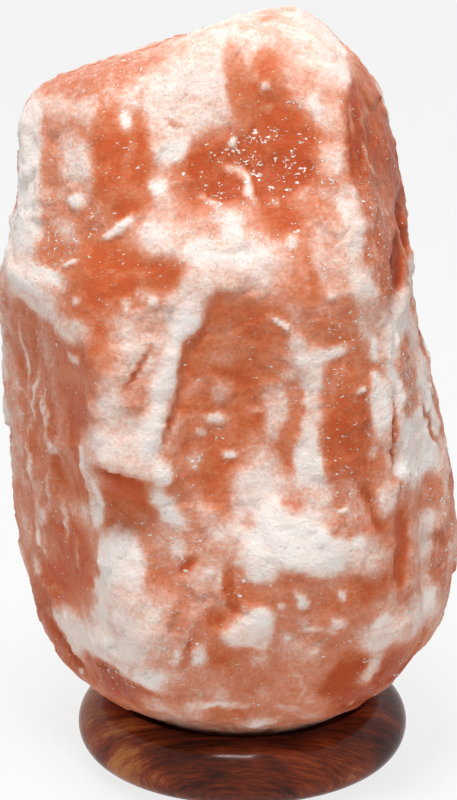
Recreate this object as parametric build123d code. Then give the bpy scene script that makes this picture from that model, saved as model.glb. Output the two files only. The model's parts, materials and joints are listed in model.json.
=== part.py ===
from build123d import *
import math
import os

# Salt crystal lamp, in millimetres.
# Origin: on the axis of the bulb hole, in the plane that the lamp rests on. +Z is up, -Y is the front.
# A hewn lump of rock salt is screwed to a turned wooden base. The bulb holder is pushed up into both
# from below and is held by two sprung clips; its bulb unscrews.

# ---------------------------------------------------------------- clearances
RUNNING_GAP = 0.3       # between pieces that move past each other
FIT_GAP = 0.05          # between pieces that are pressed, screwed or dropped together

# ---------------------------------------------------------------- wooden base
BASE_DIAMETER = 140.0
BASE_THICKNESS = 28.0   # its rim is a full round of this height
DISH_DEPTH = 5.0        # how far the floor that carries the crystal lies below the rim's crest
DISH_WALL = 8.0         # width of the sloping wall between that floor and the crest
RECESS_WALL = 12.0      # wood left at the foot of the rim, outside the hollow under the base
BASE_BORE_DIAMETER = 42.0
BORE_EDGE_ROUND = 0.8
RECESS_LIP_ROUND = 1.2
FELT_THICKNESS = 2.0
FELT_WIDTH = 9.0
FELT_INSET = 1.0        # from the edge of the base's flat underside
CORD_CLEARANCE = 1.7    # round the cord inlet's bore, in the notch through the rear of the rim
FELT_CLEARANCE = 2.5    # of the felt on each side of that notch

# ---------------------------------------------------------------- crystal fixings
SCREW_RING_RADIUS = 34.0
SCREW_ANGLES = (-90.0, 30.0, 150.0)
SCREW_DIAMETER = 4.5
SCREW_HEAD_DIAMETER = 9.0
SCREW_HEAD_HEIGHT = 2.6
SCREW_BITE = 25.0       # how far it reaches above the seat, into its plug
SCREW_POINT = 9.0
SCREW_SLOT_WIDTH = 1.2
SCREW_SLOT_DEPTH = 1.2
PLUG_WALL = 1.7
PLUG_RIB = 0.8          # how far its ribs stand out
PLUG_RIB_PITCH = 4.0
PLUG_BEYOND_SCREW = 3.0
HOLE_BEYOND_PLUG = 2.0

# ---------------------------------------------------------------- bulb
CAP_SHELL_DIAMETER = 13.9
CAP_SHELL_LENGTH = 16.0
CAP_SHELL_WALL = 0.3
CAP_FLARE = 1.45        # how far its flared rim stands out
CAP_FLARE_HEIGHT = 3.0
INSULATOR_HEIGHT = 3.6
CONTACT_DIAMETER = 4.6
CONTACT_HEIGHT = 1.4
INSULATOR_MARGIN = 0.9  # round the contact
GLASS_DIAMETER = 25.0
GLASS_WALL = 0.7
GLASS_NECK_LENGTH = 5.0
GLASS_SHOULDER_HEIGHT = 13.0
GLASS_BELLY_HEIGHT = 5.5
STEM_DIAMETER = 5.0
STEM_HEIGHT = 14.0
STEM_FLARE_HEIGHT = 2.0
LEAD_DIAMETER = 0.5
LEAD_RISE = 9.0
FILAMENT_RING_RADIUS = 5.5
FILAMENT_WIRE = 0.35
FILAMENT_SWEEP = 290.0

# ---------------------------------------------------------------- bulb holder
PLATE_LAP = 6.0         # how far the plate laps over the edge of the base's bore
PLATE_THICKNESS = 1.2
EAR_WIDTH = 8.0
EAR_HEIGHT = 5.3
EAR_THICKNESS = 0.8
EAR_CLEARANCE = 1.0     # between an ear and the holder's sleeve
CAP_GROUND_CLEARANCE = 2.5
CAP_HEIGHT = 10.0
CAP_BEYOND_SLEEVE = 3.0
CAP_WALL = 2.0
CAP_FLOOR = 1.6
CAP_EDGE_ROUND = 1.5
BOSS_LENGTH = 6.0       # how far the cord inlet's boss stands out of the cap
BOSS_SHOULDER = 0.3     # between the boss and the cap's top and bottom
INLET_DIAMETER = 6.6
THREAD_GAP = 0.4        # between the bulb's cap and the holder's screw shell
SHELL_WALL = 0.4
SHELL_HEIGHT = 21.0
SHELL_FOOT_BORE = 8.4
TERMINAL_SPACE = 4.45   # between the screw shell and the sleeve
SLEEVE_WALL = 1.8
SLEEVE_ABOVE_SHELL = 2.7
SLEEVE_FLOOR = 5.3
COLLAR_STEP = 1.0
COLLAR_HEIGHT = 4.0
SLEEVE_RIBS = 24
SLEEVE_RIB_DIAMETER = 1.0
WIRE_HOLE_DIAMETER = 8.0
HOLDER_SCREW_DIAMETER = 3.0
HOLDER_SCREW_HEAD_DIAMETER = 5.5
HOLDER_SCREW_HEAD_HEIGHT = 1.4
HOLDER_SCREW_BITE = 4.2  # how far it reaches into the sleeve's floor
HOLDER_SCREW_SLOT = 0.8
PILLAR_WALL = 1.25
BLOCK_HEIGHT = 7.0
BLOCK_CORE_DIAMETER = 5.2
BLOCK_ROOF = 1.0
TONGUE_WIDTH = 4.4
TONGUE_THICKNESS = 0.5
TONGUE_RISE = 2.6
TONGUE_LENGTH = 5.6
TERMINAL_SCREW_DIAMETER = 2.6
TERMINAL_SCREW_HEAD_DIAMETER = 4.0
TERMINAL_SCREW_HEAD_HEIGHT = 1.4
TERMINAL_SCREW_BITE = 5.0
TERMINAL_PLATE_THICKNESS = 0.6

# ---------------------------------------------------------------- sprung clips
CLIP_WIDTH = 8.0
CLIP_THICKNESS = 0.5
CLIP_LEG = 4.6          # upright part beside the ear
CLIP_RISE = 19.0        # from the ear's top to its widest point
CLIP_TIP_RISE = 5.0
CLIP_TIP_INSET = 2.2
CLIP_BEND = 2.0

# ---------------------------------------------------------------- salt crystal
CAVITY_STEP = 1.0       # how much further out the crystal's hole is than the base's, all round
CAVITY_DEPTH = 112.0
CRYSTAL_REACH = 100.0   # how far the lump reaches from the axis where it is widest
FOOT_MARGIN = 5.0       # between its dressed foot and the edge of the dish's floor
FOOT_FLARE = 1.55       # how fast the foot widens upwards
EDGE_WEAR = 1.6         # how much the edges between cleavage planes are rounded off
CHIP_DEPTH = 1.1        # how far the corners of the facets stand in or out
FACET_WANDER = 0.3      # how far they stray sideways, as a share of a facet
SECTION_FULLNESS = 2.7  # 2 is an ellipse, more is squarer
CRYSTAL_COLUMNS = 64    # facets round the crystal's sides, halved twice on the way to its top
BODY_ROWS = 26          # facets up its sides
DOME_ROWS = 14          # facets from there to its top

# The tables of the lump's form give lengths in percent of its reach, and heights above its seat.
DOME_CENTRE = (-4.0, 0.0, 196.0)    # the dome's rows of facets fan out from this point

# How far the lump would reach to the left, right, front and back if it weren't split.
REACH = (
    # height, left, right, front, back
    (0.0, 60.0, 56.0, 60.0, 55.0),
    (12.0, 71.0, 62.0, 67.0, 60.0),
    (22.0, 80.0, 67.0, 73.0, 65.0),
    (34.0, 86.0, 78.0, 78.0, 71.0),
    (60.0, 92.0, 85.0, 84.0, 78.0),
    (96.0, 97.5, 85.0, 86.0, 82.0),
    (140.0, 99.5, 77.0, 86.0, 83.0),
    (174.0, 100.0, 69.5, 86.0, 82.0),
    (207.0, 92.0, 67.0, 84.0, 79.0),
    (240.0, 90.0, 61.0, 77.0, 72.0),
    (257.0, 88.0, 56.0, 70.0, 64.0),
    (270.0, 78.0, 50.0, 60.0, 55.0),
    (281.0, 58.0, 41.0, 49.0, 44.0),
    (289.0, 34.0, 31.0, 36.0, 32.0),
    (296.0, 6.0, 20.0, 16.0, 14.0),
)

# Cleavage planes that it was split along: bearing and tilt of the outward normal in degrees, then a
# point of the plane. Bearing 0 is +X, -90 the front.
CLEAVAGES = (
    # name, bearing, tilt, x, y, height
    ("front", -91.0, 1.0, 0.0, -80.0, 120.0),
    ("front_upper", -86.0, 21.0, 0.0, -79.0, 205.0),
    ("front_lower", -92.0, -17.0, 0.0, -76.0, 42.0),
    ("front_left", -146.0, -7.0, -77.0, -47.0, 158.0),
    ("front_left_top", -138.0, 12.0, -70.0, -52.0, 235.0),
    ("front_right", -20.0, 4.0, 60.0, -70.0, 150.0),
    ("front_right_top", -21.0, 16.0, 52.0, -62.0, 210.0),
    ("left", 176.0, 1.0, -98.0, 0.0, 140.0),
    ("left_foot", -166.0, -24.0, -86.0, -20.0, 34.0),
    ("right_foot", -18.0, -34.0, 80.0, -14.0, 30.0),
    ("top_left", 156.0, 70.8, -48.0, 0.0, 276.0),
    ("top_right", 4.0, 46.0, 44.0, 0.0, 280.0),
    ("back_left", 132.0, 4.0, -68.0, 58.0, 130.0),
    ("back", 86.0, 3.0, 0.0, 77.0, 120.0),
    ("back_right", 38.0, 6.0, 62.0, 50.0, 140.0),
    ("back_top", 96.0, 40.0, 0.0, 60.0, 258.0),
    ("back_foot", 80.0, -24.0, 0.0, 70.0, 36.0),
    ("back_left_foot", 140.0, -24.0, -62.0, 54.0, 34.0),
)

# Swells (+) and hollows (-) left by the hammer: bearing in degrees, height, half widths round and up
# the surface, and how far the surface stands out or in.
SWELLS = (
    # name, bearing, height, half width, half height, amount
    ("upper_bowl", -84.0, 254.0, 34.0, 27.0, -10.0),
    ("brow", -100.0, 289.0, 46.0, 12.0, 3.0),
    ("shelf", -96.0, 197.0, 52.0, 17.0, 3.5),
    ("left_shoulder", -176.0, 184.0, 30.0, 13.0, 2.5),
    ("under_shoulder", -164.0, 160.0, 15.0, 11.0, -3.5),
    ("upper_left_hollow", -128.0, 218.0, 22.0, 16.0, -3.5),
    ("raised_slab", -117.0, 146.0, 18.0, 38.0, 4.0),
    ("slab_lip", -122.0, 124.0, 18.0, 9.0, 5.0),
    ("under_slab", -122.0, 105.0, 15.0, 9.0, -6.0),
    ("centre_hollow", -90.0, 138.0, 15.0, 46.0, -5.0),
    ("right_ridge", -62.0, 130.0, 9.0, 44.0, 3.0),
    ("white_boss", -76.0, 88.0, 24.0, 17.0, 4.0),
    ("foot_boss", -118.0, 58.0, 32.0, 17.0, 4.0),
    ("foot_hollow", -84.0, 44.0, 16.0, 15.0, -2.5),
    ("right_edge", -46.0, 190.0, 8.0, 60.0, 3.0),
    ("right_crevice", -20.0, 178.0, 6.0, 34.0, -6.0),
    ("right_groove", -31.0, 90.0, 6.0, 50.0, -5.0),
    ("right_lobe", -12.0, 84.0, 22.0, 44.0, 5.0),
    ("right_nodule", -26.0, 192.0, 6.0, 6.0, 4.0),
    ("back_hollow", 100.0, 150.0, 30.0, 36.0, -6.0),
    ("back_shelf", 70.0, 96.0, 34.0, 11.0, 4.5),
    ("back_rib", 130.0, 190.0, 10.0, 48.0, 4.0),
    ("left_flute", 158.0, 92.0, 12.0, 44.0, -4.0),
    ("right_foot_hollow", -14.0, 31.0, 26.0, 8.0, -6.0),
    ("left_foot_swell", -172.0, 14.0, 26.0, 8.0, 4.5),
)

# Flat-topped steps that the splitting left, laid out as the swells are.
STEPS = (
    # name, bearing, height, half width, half height, amount
    ("ledge", -103.0, 211.0, 29.0, 11.0, 3.2),
    ("shoulder_step", -153.0, 192.0, 12.0, 9.0, 2.0),
    ("slab_plateau", -120.0, 162.0, 17.0, 27.0, 3.2),
    ("slab_lip_step", -122.0, 128.0, 16.0, 8.0, 2.4),
    ("recess", -123.0, 112.0, 12.0, 11.0, -3.4),
    ("white_field", -77.0, 99.0, 21.0, 17.0, 2.6),
    ("white_block", -88.0, 60.0, 10.0, 11.0, 2.4),
    ("chunk", -124.0, 80.0, 12.0, 18.0, 3.2),
    ("chunk_foot", -126.0, 44.0, 23.0, 10.0, 3.0),
)

# ---------------------------------------------------------------- places worked out from the above
# Heights from the ground up.
CAP_BOTTOM = CAP_GROUND_CLEARANCE
PLATE_BOTTOM = CAP_BOTTOM + CAP_HEIGHT
PLATE_TOP = PLATE_BOTTOM + PLATE_THICKNESS
CEILING = PLATE_TOP + RUNNING_GAP                 # of the hollow under the base
BASE_TOP = FELT_THICKNESS + BASE_THICKNESS
SEAT = BASE_TOP - DISH_DEPTH                      # the crystal stands on this height
CORD_AXIS_HEIGHT = CAP_BOTTOM + CAP_HEIGHT / 2
SLEEVE_FLOOR_TOP = PLATE_TOP + SLEEVE_FLOOR
BLOCK_TOP = SLEEVE_FLOOR_TOP + BLOCK_HEIGHT
SLEEVE_TOP = BLOCK_TOP + SHELL_HEIGHT + SLEEVE_ABOVE_SHELL
TONGUE_TOP = BLOCK_TOP + TONGUE_RISE
CONTACT_BOTTOM = TONGUE_TOP + RUNNING_GAP
INSULATOR_BOTTOM = CONTACT_BOTTOM + CONTACT_HEIGHT
CAP_SHELL_BOTTOM = INSULATOR_BOTTOM + INSULATOR_HEIGHT
CAP_SHELL_TOP = CAP_SHELL_BOTTOM + CAP_SHELL_LENGTH
CAP_LEDGE = CAP_SHELL_TOP + CAP_FLARE_HEIGHT / 2 + CAP_SHELL_WALL / 2
GLASS_BOTTOM = CAP_LEDGE + FIT_GAP
STEM_TOP = GLASS_BOTTOM + STEM_FLARE_HEIGHT + STEM_HEIGHT
FILAMENT_HEIGHT = STEM_TOP + LEAD_RISE
CLIP_PIVOT_HEIGHT = PLATE_TOP + EAR_HEIGHT

# Radii.
BASE_RADIUS = BASE_DIAMETER / 2
RIM_ROUND = BASE_THICKNESS / 2
RIM_CENTRE_RADIUS = BASE_RADIUS - RIM_ROUND
DISH_FLOOR_RADIUS = RIM_CENTRE_RADIUS - DISH_WALL
RECESS_RADIUS = RIM_CENTRE_RADIUS - RECESS_WALL
BORE_RADIUS = BASE_BORE_DIAMETER / 2
NOTCH_WIDTH = INLET_DIAMETER + 2 * CORD_CLEARANCE
CAP_SHELL_RADIUS = CAP_SHELL_DIAMETER / 2
NECK_RADIUS = CAP_SHELL_RADIUS + CAP_FLARE - CAP_SHELL_WALL - FIT_GAP
SHELL_RADIUS = CAP_SHELL_RADIUS + THREAD_GAP
BLOCK_RADIUS = SHELL_RADIUS + SHELL_WALL + TERMINAL_SPACE
SLEEVE_BORE_RADIUS = BLOCK_RADIUS + FIT_GAP
SLEEVE_RADIUS = SLEEVE_BORE_RADIUS + SLEEVE_WALL
TERMINAL_RADIUS = (SHELL_RADIUS + SHELL_WALL + SLEEVE_BORE_RADIUS) / 2
HOLDER_CAP_RADIUS = SLEEVE_RADIUS + CAP_BEYOND_SLEEVE
HOLDER_SCREW_RADIUS = SLEEVE_BORE_RADIUS - HOLDER_SCREW_DIAMETER / 2
BOSS_REACH = HOLDER_CAP_RADIUS + BOSS_LENGTH
EAR_OUTSIDE = SLEEVE_RADIUS + EAR_CLEARANCE + EAR_THICKNESS
CLIP_INSIDE = EAR_OUTSIDE + RUNNING_GAP           # its leg, beside the ear
CLIP_WIDEST = BORE_RADIUS - RUNNING_GAP           # it bears on the bore's wall

# The lump, in percent of its reach.
PERCENT = CRYSTAL_REACH / 100
LUMP_HEIGHT = REACH[-1][0]
FOOT_RADIUS = (DISH_FLOOR_RADIUS - FOOT_MARGIN) / PERCENT
WEAR = EDGE_WEAR / PERCENT
CHIP = CHIP_DEPTH / PERCENT


def rounded_step(start, end):
    """Two equal arcs that join two levels, level where each one starts."""
    middle = ((start[0] + end[0]) / 2, (start[1] + end[1]) / 2)
    along = (1, 0) if end[0] > start[0] else (-1, 0)
    back = (-along[0], 0)
    TangentArc(start, middle, tangent=along)
    TangentArc(end, middle, tangent=back)


def disc(radius, bottom, top, x=0.0, y=0.0):
    """An upright cylinder between two heights."""
    return Pos(x, y, bottom) * extrude(Circle(radius), amount=top - bottom)


def taper(bottom_radius, top_radius, bottom, top):
    """An upright cone between two heights."""
    return Pos(0, 0, (bottom + top) / 2) * Cone(bottom_radius, top_radius, top - bottom)


def rearward(radius, start, end):
    """A cylinder along Y at the height of the cord, between two distances behind the axis."""
    return extrude(Plane.XZ.offset(-end) * Pos(0, CORD_AXIS_HEIGHT) * Circle(radius), amount=end - start)


def around(shape, angles):
    """Copies of a shape turned about Z."""
    return [Rot(0, 0, angle) * shape for angle in angles]


def bent_strip(corners, bend, thickness, width):
    """A strip of sheet bent round the given corners, which are x and height."""
    with BuildLine(Plane.XZ) as line:
        FilletPolyline(*corners, radius=bend)
    path = line.wires()[0]
    start = Plane(path.position_at(0), x_dir=(0, 1, 0), z_dir=path.tangent_at(0))
    return sweep(start * Rectangle(width, thickness), path=path)


# ================================================================ wooden base
def base_blank():
    """The turned disc: full-round rim, shallow dish on top, hollow underneath, bore through."""
    crest = (RIM_CENTRE_RADIUS, BASE_TOP)
    widest = (BASE_RADIUS, BASE_TOP - RIM_ROUND)
    foot = (RIM_CENTRE_RADIUS, FELT_THICKNESS)
    floor_edge = (DISH_FLOOR_RADIUS, SEAT)
    hollow = ((RECESS_RADIUS, FELT_THICKNESS), (RECESS_RADIUS, CEILING))
    bore = ((BORE_RADIUS, CEILING), (BORE_RADIUS, SEAT))
    with BuildPart() as blank:
        with BuildSketch(Plane.XZ) as profile:
            with BuildLine():
                Polyline(*bore, floor_edge)
                rounded_step(floor_edge, crest)
                ThreePointArc(crest, widest, foot)
                Polyline(foot, *hollow, bore[0])
            make_face()
            corners = profile.vertices()
            fillet(corners.filter_by(lambda corner: abs(corner.X - BORE_RADIUS) < FIT_GAP), BORE_EDGE_ROUND)
            fillet(corners.filter_by(lambda corner: abs(corner.X - RECESS_RADIUS) < FIT_GAP), RECESS_LIP_ROUND)
        revolve(axis=Axis.Z)
    return blank.part


def cord_notch():
    """The arched channel through the rear of the rim, open underneath."""
    inner_end = RECESS_RADIUS - NOTCH_WIDTH
    outer_end = BASE_RADIUS + NOTCH_WIDTH
    mouth = Pos(0, (inner_end + outer_end) / 2, CORD_AXIS_HEIGHT / 2) * Box(
        NOTCH_WIDTH, outer_end - inner_end, CORD_AXIS_HEIGHT
    )
    return rearward(NOTCH_WIDTH / 2, inner_end, outer_end) + mouth


def wood_base():
    """The disc with its cord notch and the countersunk holes for the crystal's screws."""
    head, shank = SCREW_HEAD_DIAMETER / 2 + FIT_GAP, SCREW_DIAMETER / 2 + FIT_GAP
    hole = disc(shank, CEILING, SEAT) + taper(head, shank, CEILING, CEILING + SCREW_HEAD_HEIGHT)
    return base_blank() - cord_notch() - around(Pos(SCREW_RING_RADIUS, 0, 0) * hole, SCREW_ANGLES)


def felt_ring():
    """Felt glued under the base, open at the back for the cord."""
    outer = RIM_CENTRE_RADIUS - FELT_INSET
    ring = disc(outer, 0, FELT_THICKNESS) - disc(outer - FELT_WIDTH, 0, FELT_THICKNESS)
    gap = NOTCH_WIDTH + 2 * FELT_CLEARANCE
    return ring - Pos(0, outer, FELT_THICKNESS / 2) * Box(gap, 2 * FELT_WIDTH + gap, FELT_THICKNESS)


# ================================================================ crystal fixings
def crystal_screw():
    """Countersunk wood screw with a cross in its head, which is flush with the hollow's ceiling."""
    radius = SCREW_DIAMETER / 2
    tip = SEAT + SCREW_BITE
    screw = taper(SCREW_HEAD_DIAMETER / 2, radius, CEILING, CEILING + SCREW_HEAD_HEIGHT)
    screw += disc(radius, CEILING + SCREW_HEAD_HEIGHT, tip - SCREW_POINT)
    screw += taper(radius, radius / 4, tip - SCREW_POINT, tip)
    slot = Pos(0, 0, CEILING) * Box(SCREW_HEAD_DIAMETER / 2, SCREW_SLOT_WIDTH, 2 * SCREW_SLOT_DEPTH)
    return Pos(SCREW_RING_RADIUS, 0, 0) * (screw - around(slot, (0, 90)))


def screw_plug():
    """Ribbed nylon plug in the crystal, which the screw bites into."""
    bore = SCREW_DIAMETER / 2 + FIT_GAP
    valley = bore + PLUG_WALL - PLUG_RIB
    crest = bore + PLUG_WALL
    top = SEAT + SCREW_BITE + PLUG_BEYOND_SCREW
    ribs = int((top - SEAT) / PLUG_RIB_PITCH - 0.5)
    outline = [(bore, SEAT), (crest, SEAT)]
    for rib in range(1, ribs + 1):
        height = SEAT + rib * PLUG_RIB_PITCH
        outline += [(crest, height - PLUG_RIB_PITCH / 2), (valley, height), (crest, height)]
    outline += [(valley, top), (bore, top)]
    with BuildPart() as plug:
        with BuildSketch(Plane.XZ):
            with BuildLine():
                Polyline(*outline, close=True)
            make_face()
        revolve(axis=Axis.Z)
    return Pos(SCREW_RING_RADIUS, 0, 0) * plug.part


# ================================================================ salt crystal
def reach_at(height):
    """Left, right, front and back reach at a height, on smooth curves through the REACH rows."""
    rows = REACH
    i = max(k for k in range(len(rows) - 1) if rows[k][0] <= height)
    before, low, high, after = rows[max(i - 1, 0)], rows[i], rows[i + 1], rows[min(i + 2, len(rows) - 1)]
    span = high[0] - low[0]
    t = (height - low[0]) / span
    reach = []
    for side in range(1, 5):
        slope_low = (high[side] - before[side]) / (high[0] - before[0]) * span
        slope_high = (after[side] - low[side]) / (after[0] - low[0]) * span
        reach.append(
            (2 * t**3 - 3 * t**2 + 1) * low[side]
            + (t**3 - 2 * t**2 + t) * slope_low
            + (3 * t**2 - 2 * t**3) * high[side]
            + (t**3 - t**2) * slope_high
        )
    return reach


def body_distance(origin, way):
    """How far it is along a ray to the lump's rounded body, whose level sections are superellipses."""
    near, far = 0.0, LUMP_HEIGHT
    for _ in range(26):
        middle = (near + far) / 2
        x, y, height = (start + middle * step for start, step in zip(origin, way))
        inside = height < LUMP_HEIGHT
        if inside:
            left, right, front, back = reach_at(max(height, 0.0))
            across = abs(2 * x + left - right) / (left + right)
            deep = abs(2 * y + front - back) / (front + back)
            inside = across**SECTION_FULLNESS + deep**SECTION_FULLNESS < 1
        near, far = (middle, far) if inside else (near, middle)
    return near


def foot_distance(origin, way):
    """How far it is along a level ray to the cone that the foot is dressed to."""
    radius = FOOT_RADIUS + FOOT_FLARE * origin[2]
    along = origin[0] * way[0] + origin[1] * way[1]
    aside = origin[0] * way[1] - origin[1] * way[0]
    return math.sqrt(radius**2 - aside**2) - along


def cleaved(origin, way):
    """How far it is along a ray to the nearest of body, foot and cleavage planes, with worn edges."""
    distances = [body_distance(origin, way), foot_distance(origin, way)]
    for _, bearing, tilt, x, y, height in CLEAVAGES:
        facing, rise = math.radians(bearing), math.radians(tilt)
        normal = (math.cos(facing) * math.cos(rise), math.sin(facing) * math.cos(rise), math.sin(rise))
        closing = sum(n * w for n, w in zip(normal, way))
        if closing > 0.05:
            reach = sum(n * (p - o) for n, p, o in zip(normal, (x, y, height), origin))
            distances.append(reach / closing)
    nearest = min(distances)
    return nearest - WEAR * math.log(sum(math.exp((nearest - d) / WEAR) for d in distances))


def swollen(place, distance):
    """How much swells, hollows and steps add at a place, so far from the core. A step's sides are steeper."""
    bearing = math.atan2(place[1], place[0])
    added = 0.0
    for forms, steepness in ((SWELLS, 1), (STEPS, 2)):
        for _, form_bearing, height, half_width, half_height, amount in forms:
            turn = math.remainder(bearing - math.radians(form_bearing), 2 * math.pi)
            across = distance * turn / half_width
            up = (place[2] - height) / half_height
            added += amount * math.exp(-((across**2 + up**2) ** steepness))
    return added


def crystal_corner(origin, way, chip, edge):
    """Where a ray from the core leaves the lump. Swells and chips die out where edge is 0."""
    distance = cleaved(origin, way)
    place = [o + distance * w for o, w in zip(origin, way)]
    distance += edge * (swollen(place, distance) + CHIP * chip)
    x, y, height = (PERCENT * (o + distance * w) for o, w in zip(origin, way))
    return Vector(x, y, SEAT + height)


def stray(row, column, phase):
    """A number between -1 and 1 that differs from corner to corner."""
    return math.sin(7.3 * row + 2.9 * column + phase) * math.sin(1.7 * row - 5.1 * column + 2 * phase)


def crystal_ring(row, columns):
    """One ring of corners. The lowest lies flat in the seat, and the dome's fan out from its centre."""
    core_x, core_y, dome_height = DOME_CENTRE
    edge = min(1.0, row / 4)
    ring = []
    for column in range(columns):
        wander = FACET_WANDER * edge
        bearing = 2 * math.pi * (column + 0.5 * (row % 2) + wander * stray(row, column, 1.0)) / columns
        level = row + wander * stray(row, column, 2.0)
        share = min(level / BODY_ROWS, 1.0)
        height = dome_height * (share - 0.5 * math.sin(math.pi * share) / math.pi)
        rise = math.pi / 2 * max(level - BODY_ROWS, 0.0) / DOME_ROWS
        way = (math.cos(bearing) * math.cos(rise), math.sin(bearing) * math.cos(rise), math.sin(rise))
        ring.append(crystal_corner((core_x, core_y, height), way, stray(row, column, 0.0), edge))
    return ring


def crystal_rings():
    """All rings, from the seat up, with fewer corners where they close over the top."""
    halved, halved_again = BODY_ROWS + DOME_ROWS // 2, BODY_ROWS + DOME_ROWS - 3
    rings = []
    for row in range(BODY_ROWS + DOME_ROWS):
        fewer = 4 if row >= halved_again else 2 if row >= halved else 1
        rings.append(crystal_ring(row, CRYSTAL_COLUMNS // fewer))
    return rings


def facets_between(row, lower, upper):
    """The triangles between two rings, whose corners are half a facet apart."""
    count = len(upper)
    facets = []
    for column in range(count):
        after = (column + 1) % count
        if len(lower) > count:
            fine = [lower[(2 * column + step) % len(lower)] for step in range(3)]
            facets += [(fine[0], fine[1], upper[column]), (fine[1], fine[2], upper[column])]
            facets.append((fine[2], upper[after], upper[column]))
        elif row % 2:
            facets += [(lower[column], lower[after], upper[after]), (lower[column], upper[after], upper[column])]
        else:
            facets += [(lower[column], lower[after], upper[column]), (lower[after], upper[after], upper[column])]
    return facets


def hewn_lump():
    """The lump as one closed skin of flat facets."""
    rings = crystal_rings()
    summit = crystal_corner(DOME_CENTRE, (0, 0, 1), 0.0, 1.0)
    corners = [tuple(rings[0])]
    for row, (lower, upper) in enumerate(zip(rings, rings[1:])):
        corners += facets_between(row, lower, upper)
    corners += [(corner, after, summit) for corner, after in zip(rings[-1], rings[-1][1:] + rings[-1][:1])]
    return Solid(Shell([Face(Wire.make_polygon(facet, close=True)) for facet in corners]))


def salt_crystal():
    """The lump, drilled from below for the bulb and for the screw plugs."""
    radius = BORE_RADIUS + CAVITY_STEP
    top = SEAT + CAVITY_DEPTH
    drill = disc(radius, SEAT, top - radius / 2) + taper(radius, radius / 2, top - radius / 2, top)
    plug_radius = SCREW_DIAMETER / 2 + PLUG_WALL + 2 * FIT_GAP
    plug_top = SEAT + SCREW_BITE + PLUG_BEYOND_SCREW + HOLE_BEYOND_PLUG
    plug_hole = disc(plug_radius, SEAT, plug_top, SCREW_RING_RADIUS)
    lump = hewn_lump()
    for tool in [drill, *around(plug_hole, SCREW_ANGLES)]:
        lump = lump - tool
    return lump


# ================================================================ bulb holder
def holder_plate():
    """Stamped steel disc that stops against the base, with an upstanding ear for each clip."""
    ear = Pos(EAR_OUTSIDE - EAR_THICKNESS / 2, 0, PLATE_TOP + EAR_HEIGHT / 2) * Box(
        EAR_THICKNESS, EAR_WIDTH, EAR_HEIGHT
    )
    plate = disc(BORE_RADIUS + PLATE_LAP, PLATE_BOTTOM, PLATE_TOP)
    plate -= disc(WIRE_HOLE_DIAMETER / 2, PLATE_BOTTOM, PLATE_TOP)
    screw_hole = disc(HOLDER_SCREW_DIAMETER / 2 + FIT_GAP, PLATE_BOTTOM, PLATE_TOP, HOLDER_SCREW_RADIUS)
    return plate - around(screw_hole, (0, 180)) + around(ear, (0, 180))


def holder_cap():
    """Moulded cup under the plate, with the cord inlet in a boss that points at the base's notch."""
    radius = HOLDER_CAP_RADIUS
    inside = radius - CAP_WALL
    cup = disc(radius, CAP_BOTTOM, PLATE_BOTTOM)
    cup = fillet(cup.edges().group_by(Axis.Z)[0], CAP_EDGE_ROUND)
    cup += rearward(CAP_HEIGHT / 2 - BOSS_SHOULDER, inside, BOSS_REACH)
    cup -= disc(inside, CAP_BOTTOM + CAP_FLOOR, PLATE_BOTTOM)
    cup -= rearward(INLET_DIAMETER / 2, inside - CAP_WALL, BOSS_REACH)
    screw = HOLDER_SCREW_DIAMETER / 2 + FIT_GAP
    head = HOLDER_SCREW_HEAD_DIAMETER / 2 + FIT_GAP
    pillar = disc(screw + PILLAR_WALL, CAP_BOTTOM + CAP_FLOOR, PLATE_BOTTOM, HOLDER_SCREW_RADIUS)
    hole = disc(screw, CAP_BOTTOM, PLATE_BOTTOM, HOLDER_SCREW_RADIUS)
    pocket = disc(head, CAP_BOTTOM, CAP_BOTTOM + HOLDER_SCREW_HEAD_HEIGHT, HOLDER_SCREW_RADIUS)
    return cup + around(pillar, (0, 180)) - around(hole + pocket, (0, 180))


def holder_screws():
    """Two screws that clamp the cap and the plate to the sleeve."""
    head_top = CAP_BOTTOM + HOLDER_SCREW_HEAD_HEIGHT
    head = disc(HOLDER_SCREW_HEAD_DIAMETER / 2, CAP_BOTTOM, head_top)
    shank = disc(HOLDER_SCREW_DIAMETER / 2, head_top, PLATE_TOP + HOLDER_SCREW_BITE)
    slot = Pos(0, 0, CAP_BOTTOM) * Box(HOLDER_SCREW_HEAD_DIAMETER, HOLDER_SCREW_SLOT, 2 * HOLDER_SCREW_SLOT)
    return around(Pos(HOLDER_SCREW_RADIUS, 0, 0) * (head + shank - slot), (0, 180))


def holder_sleeve():
    """Moulded sleeve round the bulb's screw shell, ribbed for grip, on a thick floor."""
    sleeve = disc(SLEEVE_RADIUS, PLATE_TOP, SLEEVE_TOP)
    sleeve += disc(SLEEVE_RADIUS + COLLAR_STEP, SLEEVE_TOP - COLLAR_HEIGHT, SLEEVE_TOP)
    rib = disc(SLEEVE_RIB_DIAMETER / 2, CLIP_PIVOT_HEIGHT, SLEEVE_TOP - COLLAR_HEIGHT, SLEEVE_RADIUS)
    rib = Pos(-SLEEVE_RIB_DIAMETER / 4, 0, 0) * rib
    sleeve += around(rib, [360 * (k + 0.5) / SLEEVE_RIBS for k in range(SLEEVE_RIBS)])
    sleeve -= disc(SLEEVE_BORE_RADIUS, SLEEVE_FLOOR_TOP, SLEEVE_TOP)
    sleeve -= disc(WIRE_HOLE_DIAMETER / 2, PLATE_TOP, SLEEVE_FLOOR_TOP)
    hole = disc(HOLDER_SCREW_DIAMETER / 2 + FIT_GAP, PLATE_TOP, PLATE_TOP + HOLDER_SCREW_BITE + FIT_GAP)
    return sleeve - around(Pos(HOLDER_SCREW_RADIUS, 0, 0) * hole, (0, 180))


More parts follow.
